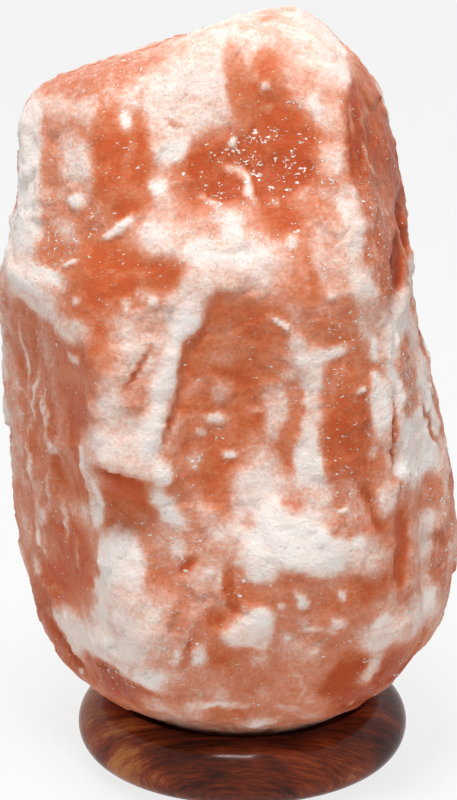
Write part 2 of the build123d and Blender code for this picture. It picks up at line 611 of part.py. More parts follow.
def contact_block():
    """Insulating block that carries the screw shell, the centre contact and both terminals."""
    block = disc(BLOCK_RADIUS, SLEEVE_FLOOR_TOP, BLOCK_TOP)
    block -= disc(BLOCK_CORE_DIAMETER / 2, SLEEVE_FLOOR_TOP, BLOCK_TOP - BLOCK_ROOF)
    hole = disc(TERMINAL_SCREW_DIAMETER / 2 + FIT_GAP, BLOCK_TOP - TERMINAL_SCREW_BITE - FIT_GAP, BLOCK_TOP)
    return block - around(Pos(TERMINAL_RADIUS, 0, 0) * hole, (0, 180))


def screw_shell():
    """Drawn brass shell that the bulb's cap screws into, with a foot riveted to the block."""
    shell = disc(SHELL_RADIUS + SHELL_WALL, BLOCK_TOP, BLOCK_TOP + SHELL_HEIGHT)
    shell -= disc(SHELL_RADIUS, BLOCK_TOP + SHELL_WALL, BLOCK_TOP + SHELL_HEIGHT)
    return shell - disc(SHELL_FOOT_BORE / 2, BLOCK_TOP, BLOCK_TOP + SHELL_WALL)


def centre_contact():
    """Sprung bronze tongue that presses on the bulb's tip."""
    foot = TONGUE_LENGTH / 2
    rise = TONGUE_TOP - TONGUE_THICKNESS / 2
    low = BLOCK_TOP + TONGUE_THICKNESS / 2
    corners = ((-foot, low), (foot, low), (foot / 2, rise), (-foot * 0.7, rise))
    return bent_strip(corners, TONGUE_THICKNESS, TONGUE_THICKNESS, TONGUE_WIDTH)


def terminal_plates():
    """A brass strip under each terminal screw's head."""
    plate_top = BLOCK_TOP + TERMINAL_PLATE_THICKNESS
    plate = disc(TERMINAL_SCREW_HEAD_DIAMETER / 2, BLOCK_TOP, plate_top)
    plate -= disc(TERMINAL_SCREW_DIAMETER / 2 + FIT_GAP, BLOCK_TOP, plate_top)
    return around(Pos(TERMINAL_RADIUS, 0, 0) * plate, (0, 180))


def terminal_screws():
    """Two cheese-head screws that clamp the cord's wires."""
    head_bottom = BLOCK_TOP + TERMINAL_PLATE_THICKNESS
    head_top = head_bottom + TERMINAL_SCREW_HEAD_HEIGHT
    screw = disc(TERMINAL_SCREW_HEAD_DIAMETER / 2, head_bottom, head_top)
    screw += disc(TERMINAL_SCREW_DIAMETER / 2, BLOCK_TOP - TERMINAL_SCREW_BITE, head_bottom)
    return around(Pos(TERMINAL_RADIUS, 0, 0) * screw, (0, 180))


def spring_clip(angle):
    """Sprung steel leaf: upright beside the plate's ear, then out to the bore's wall and back in at its tip."""
    leg = CLIP_INSIDE + CLIP_THICKNESS / 2
    widest = CLIP_WIDEST - CLIP_THICKNESS / 2
    bend = CLIP_PIVOT_HEIGHT + CLIP_RISE
    corners = (
        (leg, CLIP_PIVOT_HEIGHT - CLIP_LEG),
        (leg, CLIP_PIVOT_HEIGHT),
        (widest, bend),
        (widest - CLIP_TIP_INSET, bend + CLIP_TIP_RISE),
    )
    return Rot(0, 0, angle) * bent_strip(corners, CLIP_BEND, CLIP_THICKNESS, CLIP_WIDTH)


# ================================================================ bulb
def bulb_contact():
    """Domed solder tip under the bulb."""
    radius = CONTACT_DIAMETER / 2
    lowest = (0, CONTACT_BOTTOM)
    edge = (radius, INSULATOR_BOTTOM)
    bulge = (radius * 0.6, CONTACT_BOTTOM + CONTACT_HEIGHT * 0.25)
    with BuildPart() as tip:
        with BuildSketch(Plane.XZ):
            with BuildLine():
                Spline(lowest, bulge, edge, tangents=((1, 0), (0, 1)))
                Polyline(edge, (0, INSULATOR_BOTTOM), lowest)
            make_face()
        revolve(axis=Axis.Z)
    return tip.part


def bulb_insulator():
    """Black glass cone between the tip and the cap's shell."""
    tip = CONTACT_DIAMETER / 2 + INSULATOR_MARGIN
    return taper(tip, CAP_SHELL_RADIUS, INSULATOR_BOTTOM, CAP_SHELL_BOTTOM)


def bulb_cap_shell():
    """Brass cap of the bulb, flared where the glass is cemented in."""
    outer, wall = CAP_SHELL_RADIUS, CAP_SHELL_WALL
    flare = outer + CAP_FLARE
    bend = CAP_SHELL_TOP + CAP_FLARE_HEIGHT / 2
    rim = CAP_SHELL_TOP + CAP_FLARE_HEIGHT
    outside = ((outer, CAP_SHELL_BOTTOM), (outer, CAP_SHELL_TOP), (flare, bend), (flare, rim))
    inside = (
        (flare - wall, rim),
        (flare - wall, CAP_LEDGE),
        (outer - wall, CAP_SHELL_TOP + wall / 2),
        (outer - wall, CAP_SHELL_BOTTOM),
    )
    with BuildPart() as cap:
        with BuildSketch(Plane.XZ):
            with BuildLine():
                Polyline(*outside, *inside, close=True)
            make_face()
        revolve(axis=Axis.Z)
    return cap.part


def envelope(inset):
    """The bulb's pear shape, drawn in by a wall: neck, shoulder of two arcs, belly and round crown."""
    neck = NECK_RADIUS - inset
    belly = GLASS_DIAMETER / 2 - inset
    shoulder = GLASS_BOTTOM + GLASS_NECK_LENGTH
    widest = shoulder + GLASS_SHOULDER_HEIGHT
    crown = widest + GLASS_BELLY_HEIGHT
    middle = ((neck + belly) / 2, (shoulder + widest) / 2)
    with BuildPart() as bulb:
        with BuildSketch(Plane.XZ):
            with BuildLine():
                Polyline((0, GLASS_BOTTOM), (neck, GLASS_BOTTOM), (neck, shoulder))
                TangentArc((neck, shoulder), middle, tangent=(0, 1))
                TangentArc((belly, widest), middle, tangent=(0, -1))
                Line((belly, widest), (belly, crown))
                CenterArc((0, crown), belly, 0, 90)
                Line((0, crown + belly), (0, GLASS_BOTTOM))
            make_face()
        revolve(axis=Axis.Z)
    return bulb.part


def bulb_glass():
    """Blown glass envelope, sealed to the stem at its neck."""
    return envelope(0) - envelope(GLASS_WALL)


def bulb_stem():
    """Glass stem inside the bulb, flared where it meets the neck."""
    flare_top = GLASS_BOTTOM + STEM_FLARE_HEIGHT
    foot = taper(NECK_RADIUS - GLASS_WALL, STEM_DIAMETER / 2, GLASS_BOTTOM, flare_top)
    return foot + taper(STEM_DIAMETER / 2, STEM_DIAMETER / 3, flare_top, STEM_TOP)


def bulb_lead_wires():
    """Two stiff wires from the stem up to the ends of the filament."""
    wires = []
    for side in (-1, 1):
        turn = math.radians(90 + side * FILAMENT_SWEEP / 2)
        root = Vector(-side * STEM_DIAMETER / 8, 0, STEM_TOP)
        end = Vector(FILAMENT_RING_RADIUS * math.cos(turn), FILAMENT_RING_RADIUS * math.sin(turn), FILAMENT_HEIGHT)
        wires.append(sweep(Plane.XY.move(Pos(root)) * Circle(LEAD_DIAMETER / 2), path=Line(root, end)))
    return wires


def bulb_filament():
    """Filament bowed round, on the ends of the lead wires."""
    start = 90 - FILAMENT_SWEEP / 2
    arc = Pos(0, 0, FILAMENT_HEIGHT + FILAMENT_WIRE / 2) * CenterArc(
        (0, 0), FILAMENT_RING_RADIUS, start, FILAMENT_SWEEP
    )
    wire = Plane(arc.position_at(0), z_dir=arc.tangent_at(0)) * Circle(FILAMENT_WIRE / 2)
    return sweep(wire, path=arc)


# ================================================================ the lamp
def build():
    """Every piece of the lamp, by name."""
    return {
        "salt_crystal": salt_crystal(),
        "wood_base": wood_base(),
        "felt_ring": felt_ring(),
        "crystal_screws": around(crystal_screw(), SCREW_ANGLES),
        "screw_plugs": around(screw_plug(), SCREW_ANGLES),
        "holder_plate": holder_plate(),
        "holder_cap": holder_cap(),
        "holder_screws": holder_screws(),
        "holder_sleeve": holder_sleeve(),
        "contact_block": contact_block(),
        "screw_shell": screw_shell(),
        "centre_contact": centre_contact(),
        "terminal_plates": terminal_plates(),
        "terminal_screws": terminal_screws(),
        "spring_clip_right": spring_clip(0),
        "spring_clip_left": spring_clip(180),
        "bulb_contact": bulb_contact(),
        "bulb_insulator": bulb_insulator(),
        "bulb_cap_shell": bulb_cap_shell(),
        "bulb_glass": bulb_glass(),
        "bulb_stem": bulb_stem(),
        "bulb_lead_wires": bulb_lead_wires(),
        "bulb_filament": bulb_filament(),
    }


def solids_of(shape):
    """The solids of one shape or of a list of shapes."""
    shapes = shape if isinstance(shape, list) else [shape]
    return [solid for each in shapes for solid in each.solids()]


os.makedirs("parts", exist_ok=True)
for node, shape in build().items():
    solids = solids_of(shape)
    export_step(solids[0] if len(solids) == 1 else Compound(children=solids), f"parts/{node}.step")
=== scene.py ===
"""Salt crystal lamp: a hewn lump of rock salt on a turned rosewood base, dressed for the photograph."""

from __future__ import annotations

import json
import logging
import math
from dataclasses import dataclass, field
from enum import Enum
from functools import reduce
from typing import ClassVar

import bpy
import numpy as np
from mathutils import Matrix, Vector


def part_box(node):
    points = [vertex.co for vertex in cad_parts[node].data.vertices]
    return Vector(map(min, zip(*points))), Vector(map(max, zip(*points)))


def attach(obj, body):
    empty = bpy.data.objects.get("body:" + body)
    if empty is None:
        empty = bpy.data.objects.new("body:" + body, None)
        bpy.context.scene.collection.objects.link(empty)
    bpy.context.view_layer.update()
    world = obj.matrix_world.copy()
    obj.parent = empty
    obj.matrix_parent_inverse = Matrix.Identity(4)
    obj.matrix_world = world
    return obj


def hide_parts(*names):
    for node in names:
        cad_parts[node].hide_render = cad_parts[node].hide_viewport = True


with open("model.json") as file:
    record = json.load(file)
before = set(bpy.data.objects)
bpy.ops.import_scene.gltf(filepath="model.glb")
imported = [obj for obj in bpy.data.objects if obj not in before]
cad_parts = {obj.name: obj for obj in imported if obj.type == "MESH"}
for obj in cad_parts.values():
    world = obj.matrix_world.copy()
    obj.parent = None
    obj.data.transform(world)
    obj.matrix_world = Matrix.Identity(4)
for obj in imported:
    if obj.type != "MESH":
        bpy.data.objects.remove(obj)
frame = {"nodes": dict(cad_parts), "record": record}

log = logging.getLogger("salt_lamp")
MM = 0.001
WHITE_LIGHT = (1.0, 1.0, 1.0, 1.0)
Array = np.ndarray


# ============================================================ surfaces in numpy
def smooth(low: float, high: float, value: Array) -> Array:
    """Rises from 0 to 1 between two values, level at both ends: 3t^2 - 2t^3.

    Args:
        low: Where it is 0.
        high: Where it is 1.
        value: What is measured.

    Returns:
        The share, for each value.
    """
    t = np.clip((value - low) / (high - low), 0.0, 1.0)
    return t * t * (3.0 - 2.0 * t)


def lattice_hash(cells: Array, seed: int) -> Array:
    """A number from 0 to 1 for each whole-numbered cell: products of its coordinates, mixed bit by bit.

    Args:
        cells: Whole numbers, three to a row.
        seed: Which of many patterns.

    Returns:
        One number for each row.
    """
    c = cells.astype(np.int64)
    h = (c[..., 0] * 374761393 + c[..., 1] * 668265263 + c[..., 2] * 2147483647 + seed * 974711) & 0xFFFFFFFF
    h = ((h ^ (h >> 13)) * 1274126177) & 0xFFFFFFFF
    h = ((h ^ (h >> 16)) * 2246822519) & 0xFFFFFFFF
    return ((h ^ (h >> 15)) & 0xFFFFFF) / float(0xFFFFFF)


def cloud(points: Array, size: float, seed: int) -> Array:
    """Soft random swell: hashed values on a cubic lattice, blended with a quintic between its corners.

    Args:
        points: Places in mm, three to a row.
        size: Lattice spacing in mm.
        seed: Which of many patterns.

    Returns:
        A value from -1 to 1 for each place.
    """
    scaled = points / size
    corner = np.floor(scaled)
    t = scaled - corner
    t = t**3 * (t * (t * 6.0 - 15.0) + 10.0)
    total = np.zeros(points.shape[:-1])
    for step in np.ndindex(2, 2, 2):
        offset = np.array(step, dtype=float)
        weight = np.prod(np.where(offset > 0, t, 1.0 - t), axis=-1)
        total += weight * lattice_hash(corner + offset, seed)
    return 2.0 * total - 1.0


def fractal(points: Array, size: float, octaves: int, seed: int) -> Array:
    """Clouds added up, each half the size and half the strength of the one before.

    Args:
        points: Places in mm.
        size: Spacing of the coarsest cloud.
        octaves: How many clouds.
        seed: Which of many patterns.

    Returns:
        About -1 to 1 for each place.
    """
    return sum(cloud(points, size / 2**k, seed + 17 * k) / 2**k for k in range(octaves)) / 1.6


def drift(points: Array, size: float, octaves: int, seeds: tuple[int, int, int]) -> Array:
    """A fractal for each of the three axes, to shift places by."""
    return np.stack([fractal(points, size, octaves, seed) for seed in seeds], axis=-1)


def chips(points: Array, size: float, seed: int) -> Array:
    """Hewn steps: each place belongs to its nearest jittered seed and lies on that seed's tilted plane.

    Args:
        points: Places in mm.
        size: Mean spacing of the seeds.
        seed: Which of many patterns.

    Returns:
        Height of the tilted planes, about -1 to 1, with a step where one chip meets the next.
    """
    scaled = points / size
    cell = np.floor(scaled)
    nearest = np.full(points.shape[:-1], 9.0)
    height = np.zeros(points.shape[:-1])
    for step in np.ndindex(3, 3, 3):
        home = cell + np.array(step, dtype=float) - 1.0
        jitter = np.stack([lattice_hash(home, seed + k) for k in range(3)], axis=-1)
        away = scaled - home - jitter
        distance = np.sum(away**2, axis=-1)
        tilt = np.stack([lattice_hash(home, seed + 5 + k) for k in range(3)], axis=-1) - 0.5
        plane = 2.2 * np.sum(away * tilt, axis=-1) + 0.8 * (lattice_hash(home, seed + 9) - 0.5)
        closer = distance < nearest
        nearest = np.where(closer, distance, nearest)
        height = np.where(closer, plane, height)
    return height


def averaged(grid: Array, sigma: float, axis: int, mode: str) -> Array:
    """A grid averaged along one axis with a bell-shaped weight.

    Args:
        grid: Values on a grid.
        sigma: Half width of the bell, in cells.
        axis: Which axis.
        mode: How numpy pads it: edge where it ends, wrap where it runs round to its start.

    Returns:
        The averaged grid.
    """
    reach = int(math.ceil(3 * sigma))
    weights = np.exp(-0.5 * (np.arange(-reach, reach + 1) / sigma) ** 2)
    weights /= weights.sum()
    pad = [(0, 0)] * grid.ndim
    pad[axis] = (reach, reach)
    padded = np.pad(grid, pad, mode=mode)
    count = grid.shape[axis]
    return sum(w * np.take(padded, np.arange(k, k + count), axis=axis) for k, w in enumerate(weights))


def blurred(grid: Array, sigma: float) -> Array:
    """A grid of rows that run round, averaged along both its axes."""
    return averaged(averaged(grid, sigma, 0, "edge"), sigma, 1, "wrap")


def unit(vectors: Array) -> Array:
    """Vectors brought to length 1."""
    return vectors / np.maximum(np.linalg.norm(vectors, axis=-1, keepdims=True), 1e-12)


def round_axis(radius: Array, height: Array, columns: int) -> Array:
    """Rows of points round the Z axis, by rising bearing.

    Args:
        radius: One for each row, or one for each row and column.
        height: One for each row.
        columns: Points in each row.

    Returns:
        Rows by columns by 3.
    """
    bearing = bearings(columns)
    if radius.ndim == 1:
        radius = radius[:, None]
    level = np.broadcast_to(height[:, None], (len(height), columns))
    return np.stack([radius * np.cos(bearing), radius * np.sin(bearing), level], axis=-1)


def bearings(columns: int) -> Array:
    """Evenly spread bearings round the axis, in radians."""
    return np.linspace(0, 2 * np.pi, columns, endpoint=False)


def grid_normals(points: Array) -> Array:
    """Unit normals of a grid of rows that run round: the cross product of its two slopes.

    Args:
        points: Rows by columns by 3.

    Returns:
        The outward normals, in the same shape.
    """
    around = np.roll(points, -1, axis=1) - np.roll(points, 1, axis=1)
    along = np.gradient(points, axis=0)
    return unit(np.cross(around, along))


def tube_faces(rows: int, columns: int) -> Array:
    """Quads between the rows of a grid that runs round.

    Args:
        rows: Number of rows.
        columns: Corners in each row.

    Returns:
        Four corner numbers to a row, outward if the rows run upwards and the columns by rising bearing.
    """
    corner = np.arange(rows * columns).reshape(rows, columns)
    after = np.roll(corner, -1, axis=1)
    return np.stack([corner[:-1], after[:-1], after[1:], corner[1:]], axis=-1).reshape(-1, 4)


def placed(name: str, data: bpy.types.ID) -> bpy.types.Object:
    """Puts a mesh, a light or a camera into the scene.

    Args:
        name: Name of the object.
        data: What it shows.

    Returns:
        The new object.
    """
    thing = bpy.data.objects.new(name, data)
    bpy.context.scene.collection.objects.link(thing)
    return thing


def new_mesh(name: str, points: Array, faces: list) -> bpy.types.Mesh:
    """A mesh from corners and faces.

    Args:
        name: Name of the mesh.
        points: Corners in mm, three to a row.
        faces: Corner numbers of each face.

    Returns:
        The mesh, which holds metres.
    """
    mesh = bpy.data.meshes.new(name)
    mesh.from_pydata((points.reshape(-1, 3) * MM).tolist(), [], faces)
    return mesh


def new_piece(
    name: str, points: Array, faces: list, body: str, node: str, finish: bpy.types.Material
) -> bpy.types.Object:
    """Makes a piece from corners and faces, in its place, riding on a body.

    Args:
        name: Name of the piece.
        points: Corners in mm, three to a row.
        faces: Corner numbers of each face.
        body: The CAD body that it rides on.
        node: The CAD node that it stands for.
        finish: Its material.

    Returns:
        The new object, shaded smooth.
    """
    mesh = new_mesh(name, points, faces)
    mesh.update()
    mesh.shade_smooth()
    mesh.materials.append(finish)
    piece = placed(name, mesh)
    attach(piece, body)
    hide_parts(node)
    log.info("%s: %d faces on %s", name, len(faces), body)
    return piece


def read_corners(mesh: bpy.types.Mesh) -> Array:
    """Where the corners of a mesh are.

    Args:
        mesh: The mesh.

    Returns:
        Their places in metres, three to a row.
    """
    flat = np.empty(3 * len(mesh.vertices), dtype=np.float32)
    mesh.vertices.foreach_get("co", flat)
    return flat.reshape(-1, 3)


def heights(node: str) -> tuple[float, float]:
    """The lowest and the highest level of a CAD node, in mm."""
    low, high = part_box(node)
    return low[2] / MM, high[2] / MM


def set_layer(mesh: bpy.types.Mesh, name: str, values: Array) -> None:
    """Stores one number for each corner of a mesh, for its material to read."""
    layer = mesh.attributes.new(name, "FLOAT", "POINT")
    layer.data.foreach_set("value", values.ravel().astype(np.float32))


# ============================================================ shader nodes
Socket = bpy.types.NodeSocket
NO_TURN = (0.0, 0.0, 0.0)


class Nodes:
    """Places and joins the nodes of one tree."""

    def __init__(self, tree: bpy.types.NodeTree) -> None:
        """Takes over an empty tree."""
        self.tree = tree

    def add(self, kind: str, **options: object) -> bpy.types.Node:
        """Adds a node.

        Args:
            kind: Its type name.
            options: Its properties, and its inputs as values or sockets, by name with _ for a space, or by
                number as i0, i1 and so on.

        Returns:
            The new node.
        """
        node = self.tree.nodes.new(kind)
        for key, value in options.items():
            if hasattr(node, key) and key not in ("inputs", "outputs"):
                setattr(node, key, value)
                continue
            numbered = key[0] == "i" and key[1:].isdigit()
            self.join(node.inputs[int(key[1:]) if numbered else key.replace("_", " ")], value)
        return node

    def join(self, target: Socket, value: object) -> None:
        """Sets a socket to a value, or links another socket to it.

        Args:
            target: The socket that is fed.
            value: The value, or the other socket.
        """
        if isinstance(value, bpy.types.NodeSocket):
            self.tree.links.new(value, target)
        else:
            target.default_value = value

    def math(self, operation: str, *values: object, clamp: bool = False) -> Socket:
        """Adds a Math node.

        Args:
            operation: What it works out.
            values: One to three values or sockets.
            clamp: Whether the result is kept from 0 to 1.

        Returns:
            The result.
        """
        node = self.add("ShaderNodeMath", operation=operation, use_clamp=clamp)
        for socket, value in zip(node.inputs, values):
            self.join(socket, value)
        return node.outputs[0]

    def plus(self, *values: object) -> Socket:
        """The sum of two or more values or sockets."""
        return reduce(lambda first, second: self.math("ADD", first, second), values)

    def minus(self, first: object, second: object) -> Socket:
        """The difference of two values or sockets."""
        return self.math("SUBTRACT", first, second)

    def times(self, *values: object) -> Socket:
        """The product of two or more values or sockets."""
        return reduce(lambda first, second: self.math("MULTIPLY", first, second), values)

    def mix(self, factor: object, first: object, second: tuple) -> Socket:
        """A colour between two colours, the second without its alpha."""
        colours = {"i6": first, "i7": (*second, 1.0)}
        return self.add("ShaderNodeMix", data_type="RGBA", i0=factor, **colours).outputs[2]

    def fit(self, value: object, low: float, high: float) -> Socket:
        """A value carried from a range to 0 to 1, smoothly and without leaving it."""
        node = self.add("ShaderNodeMapRange", interpolation_type="SMOOTHSTEP", i0=value, i1=low, i2=high)
        return node.outputs[0]

    def noise(
        self,
        place: Socket,
        scale: float | tuple,
        detail: float,
        rough: float,
        twist: float = 0.0,
        turn: tuple = NO_TURN,
    ) -> Socket:
        """A Noise Texture's value.

        Args:
            place: Where it is read.
            scale: Swells to a metre, or three numbers for a pattern that runs one way.
            detail: How many finer layers are added.
            rough: Strength of each layer beside the one before.
            twist: How far it is bent by itself.
            turn: How the place is turned before it is scaled by three numbers.

        Returns:
            The value, from 0 to 1.
        """
        if isinstance(scale, tuple):
            place, scale = self.stretched(place, scale, turn), 1.0
        settings = {"Scale": scale, "Detail": detail, "Roughness": rough, "Distortion": twist}
        return self.add("ShaderNodeTexNoise", Vector=place, **settings).outputs["Fac"]

    def stretched(self, place: Socket, scale: tuple = (1.0, 1.0, 1.0), turn: tuple = NO_TURN) -> Socket:
        """A place turned and scaled, for patterns that run one way."""
        return self.add("ShaderNodeMapping", Vector=place, Rotation=turn, Scale=scale).outputs[0]

    def ramp(self, value: Socket, *stops: tuple) -> Socket:
        """A colour that runs through several others.

        Args:
            value: Where it is read, from 0 to 1.
            stops: A place from 0 to 1 and a colour each.

        Returns:
            The colour.
        """
        node = self.add("ShaderNodeValToRGB", i0=value)
        band = node.color_ramp
        while len(band.elements) < len(stops):
            band.elements.new(0.5)
        for element, (place, colour) in zip(band.elements, stops):
            element.position = place
            element.color = (*colour, 1.0)
        return node.outputs[0]

    def group(self, tree: bpy.types.NodeTree, **inputs: object) -> bpy.types.bpy_prop_collection:
        """Places a node group with its own values.

        Args:
            tree: The group.
            inputs: Its inputs by name, as values or sockets.

        Returns:
            Its outputs.
        """
        node = self.add("ShaderNodeGroup")
        node.node_tree = tree
        for key, value in inputs.items():
            self.join(node.inputs[key], value)
        return node.outputs


def new_group(name: str, *outputs: str, **inputs: float) -> tuple:
    """An empty node group with named sockets. Its first input is Place.

    Args:
        name: Name of the group.
        outputs: Names of its outputs: Color is a colour, the others are numbers.
        inputs: Default value of each further input.

    Returns:
        The tree, its Nodes, its input node's outputs and its output node's inputs.
    """
    tree = bpy.data.node_groups.new(name, "ShaderNodeTree")
    tree.interface.new_socket("Place", in_out="INPUT", socket_type="NodeSocketVector")
    for key, value in inputs.items():
        tree.interface.new_socket(key, in_out="INPUT", socket_type="NodeSocketFloat").default_value = value
    for key in outputs:
        kind = "NodeSocketColor" if key == "Color" else "NodeSocketFloat"
        tree.interface.new_socket(key, in_out="OUTPUT", socket_type=kind)
    nodes = Nodes(tree)
    return tree, nodes, nodes.add("NodeGroupInput").outputs, nodes.add("NodeGroupOutput").inputs


def new_material(name: str, **settings: object) -> tuple:
    """A material with a Principled BSDF.

    Args:
        name: Name of the material.
        settings: Values of the shader's sockets, with _ for a space.

    Returns:
        The material, its Nodes, the shader and Object coordinates.
    """
    material = bpy.data.materials.new(name)
    material.use_nodes = True
    nodes = Nodes(material.node_tree)
    shader = material.node_tree.nodes["Principled BSDF"]
    for key, value in settings.items():
        nodes.join(shader.inputs[key.replace("_", " ")], value)
    return material, nodes, shader, nodes.add("ShaderNodeTexCoord").outputs["Object"]


def finished(
    nodes: Nodes, shader: bpy.types.Node, color: Socket, gloss: Socket, height: Socket, depth: float
) -> None:
    """Feeds a colour, a roughness and a relief to a shader.

    Args:
        nodes: The material's nodes.
        shader: Its shader.
        color: The base colour.
        gloss: The roughness.
        height: The relief, from 0 to about 1.
        depth: How many metres a relief of 1 stands for.
    """
    nodes.join(shader.inputs["Base Color"], color)
    nodes.join(shader.inputs["Roughness"], gloss)
    node = nodes.add("ShaderNodeBump", Strength=1.0, Distance=depth, Height=height)
    nodes.join(shader.inputs["Normal"], node.outputs[0])


def wear_group() -> bpy.types.NodeTree:
    """Fine scratches and dull patches that many of the finishes share.

    Returns:
        The node group.
    """
    tree, n, start, end = new_group("handling_wear", "Mask", "Height", Size=0.004, Amount=0.3)
    size = n.add("ShaderNodeCombineXYZ", X=start["Size"], Y=start["Size"], Z=start["Size"]).outputs[0]
    scaled = n.add("ShaderNodeVectorMath", operation="DIVIDE", i0=start["Place"], i1=size).outputs[0]
    patches = n.noise(scaled, 1.0, 4.0, 0.6)
    scratches = n.noise(scaled, (9.0, 1.2, 9.0), 2.0, 0.5, 0.4, turn=(0.3, 0.5, 0.9))
    mask = n.times(n.fit(n.plus(patches, n.times(scratches, 0.5)), 0.62, 0.95), start["Amount"])
    n.join(end["Mask"], mask)
    n.join(end["Height"], n.minus(patches, n.fit(scratches, 0.6, 0.75)))
    return tree


# ============================================================ salt crystal
class Tone(Enum):
    """How frosted the salt is, from clear and deep orange to chalk white."""

    DEEP = 0.02
    ORANGE = 0.16
    PEACH = 0.33
    SALMON = 0.46
    PINK = 0.62
    PALE = 0.8
    WHITE = 0.97


class Relief(Enum):
    """Cross-section of a mark that stands out of the surface."""

    MOUND = "round on top"
    LEDGE = "rises slowly across its width, then drops off"
    CRACK = "sharp in the middle"


@dataclass(frozen=True)
class Mark:
    """A patch, vein, ridge or crack of the salt, in mm on one side of the lump.

    It is a rounded box of half_length by half_width, turned by some degrees, that is soft over edge, a share
    of its half size. Its tone, red and sparkle are mixed in by its strength, and it stands out by lift. Red
    darkens it towards brown-red: the salt's own red, and painted shade in grooves, cracks and under
    overhangs.
    Sparkle thickens the painted glints.
    """

    across: float
    up: float
    half_length: float
    half_width: float
    turn: float
    tone: Tone
    edge: float = 0.3
    lift: float = 0.0
    red: float = 0.0
    sparkle: float | None = None
    strength: float = 1.0
    relief: Relief = Relief.MOUND

    corner_power: ClassVar[float] = 2.6
    least_soft: ClassVar[float] = 4.5
    most_soft: ClassVar[float] = 0.62

    def local(self, across: Array, up: Array) -> tuple[Array, Array]:
        """Places measured along and across the mark, in its half sizes.

        Args:
            across: Places across the side of the lump, in mm.
            up: Places up that side.

        Returns:
            Position along, and position across.
        """
        x, z = across - self.across, up - self.up
        c, s = math.cos(math.radians(self.turn)), math.sin(math.radians(self.turn))
        return (x * c + z * s) / self.half_length, (z * c - x * s) / self.half_width

    def cover(self, along: Array, across: Array) -> Array:
        """How much the mark covers each place, from 0 to 1.

        Args:
            along: Position along the mark.
            across: Position across it.

        Returns:
            1 inside the rounded box, falling off over its edge.
        """
        power = self.corner_power
        reach = (np.abs(along) ** power + np.abs(across) ** power) ** (1 / power)
        soft = max(self.edge, min(self.least_soft / self.half_width, self.most_soft))
        return 1.0 - smooth(1.0 - soft, 1.0 + soft, reach)

    def height(self, across: Array) -> Array | float:
        """How far the mark stands out of the surface where it covers it fully, in mm.

        Args:
            across: Position across the mark.

        Returns:
            The height at each place.
        """
        if self.relief is Relief.LEDGE:
            return self.lift * np.clip(0.5 * (across + 1.0), 0.0, 1.0) * (1.0 - smooth(0.72, 1.0, across))
        if self.relief is Relief.CRACK:
            return self.lift * np.exp(-3.0 * np.abs(across))
        return self.lift


DEEP, ORANGE, PEACH, SALMON, PINK, PALE, WHITE = Tone
LEDGE, CRACK = Relief.LEDGE, Relief.CRACK

# The later marks lie over the earlier. These are on sides that the photograph doesn't show.
TOP_MARKS = {
    "facet": Mark(-56, 0, 34, 60, 8, SALMON, 0.2, red=0.3),
    "streak": Mark(-46, 10, 30, 1.6, 14, PINK, 0.3, 0.4, 0.2),
    "pale": Mark(12, 8, 34, 40, 0, PALE, 0.35),
}
RIGHT_MARKS = {
    "orange": Mark(10, 250, 34, 26, 10, ORANGE, red=0.35, sparkle=0.4),
    "ledge": Mark(4, 216, 24, 6, -14, WHITE, 0.4, 1.8, relief=LEDGE),
    "ledge_end": Mark(38, 206, 14, 4, 22, PALE, 0.5, 1.2),
    "cloud": Mark(30, 268, 14, 9, -25, PINK, 0.6),
    "spot_1": Mark(8, 238, 4, 3, 20, WHITE, 0.5, 0.8),
    "spot_2": Mark(22, 232, 2.4, 4, -10, PALE, 0.5, 0.6),
    "deep": Mark(26, 182, 22, 18, 12, DEEP, 0.22, red=0.2, sparkle=0.3),
    "vein": Mark(2, 176, 4, 30, -16, PALE, 0.4, 0.8),
    "chunk": Mark(26, 140, 15, 10, -28, PALE, 0.35, 1.2),
    "chunk_low": Mark(38, 126, 12, 7, 24, WHITE, 0.45, 0.8),
    "scar": Mark(14, 156, 14, 1.6, 52, ORANGE, 0.5, -1.4, 0.5),
    "haze": Mark(52, 176, 8, 18, 8, PINK, 0.6),
    "speck_1": Mark(20, 112, 3, 2.4, 0, WHITE, 0.5, 0.7),
    "speck_2": Mark(4, 96, 4, 3, -20, PALE, 0.5, 0.7),
    "pool": Mark(-6, 122, 15, 18, 8, ORANGE, red=0.2),
    "flake": Mark(34, 98, 18, 7, 18, PINK, 0.35, 0.9),
    "foot": Mark(10, 74, 30, 12, 0, PEACH, 0.4, red=0.3),
}
LEFT_MARKS = {
    "upper": Mark(8, 262, 40, 22, -6, ORANGE, 0.35, red=0.1, sparkle=0.4),
    "shelf": Mark(-8, 228, 26, 5.5, 12, WHITE, 0.4, 1.8, relief=LEDGE),
    "shelf_end": Mark(30, 222, 16, 5, -18, PALE, 0.5, 1.2),
    "cloud": Mark(-2, 276, 18, 8, 18, PINK, 0.6),
    "spot_1": Mark(16, 246, 4, 2.4, 30, WHITE, 0.5, 0.8),
    "spot_2": Mark(34, 258, 3, 4.4, 0, PALE, 0.5, 0.6),
    "pool": Mark(26, 196, 20, 17, -10, DEEP, 0.25, red=0.2, sparkle=0.3),
    "drape": Mark(0, 176, 9, 34, 10, PALE, 0.35, 1.0),
    "block": Mark(36, 156, 11, 13, -26, WHITE, 0.3, 1.3),
    "block_low": Mark(42, 138, 9, 10, 18, PALE, 0.4, 0.9),
    "block_shade": Mark(28, 132, 12, 1.8, -34, ORANGE, 0.5, -1.5, 0.6),
    "haze": Mark(-18, 140, 9, 20, -10, PINK, 0.6),
    "speck_1": Mark(8, 108, 3.4, 2.4, 0, WHITE, 0.5, 0.7),
    "speck_2": Mark(22, 112, 2.2, 3.4, 20, PALE, 0.5, 0.6),
    "red": Mark(14, 128, 14, 22, 0, DEEP, 0.25, red=0.45),
    "scarf": Mark(18, 96, 24, 6, 22, PALE, 0.45, 1.0),
    "scarf_end": Mark(-14, 84, 14, 5, -16, PINK, 0.5, 0.6),
    "foot": Mark(0, 72, 34, 12, -4, ORANGE, 0.4, red=0.4),
}
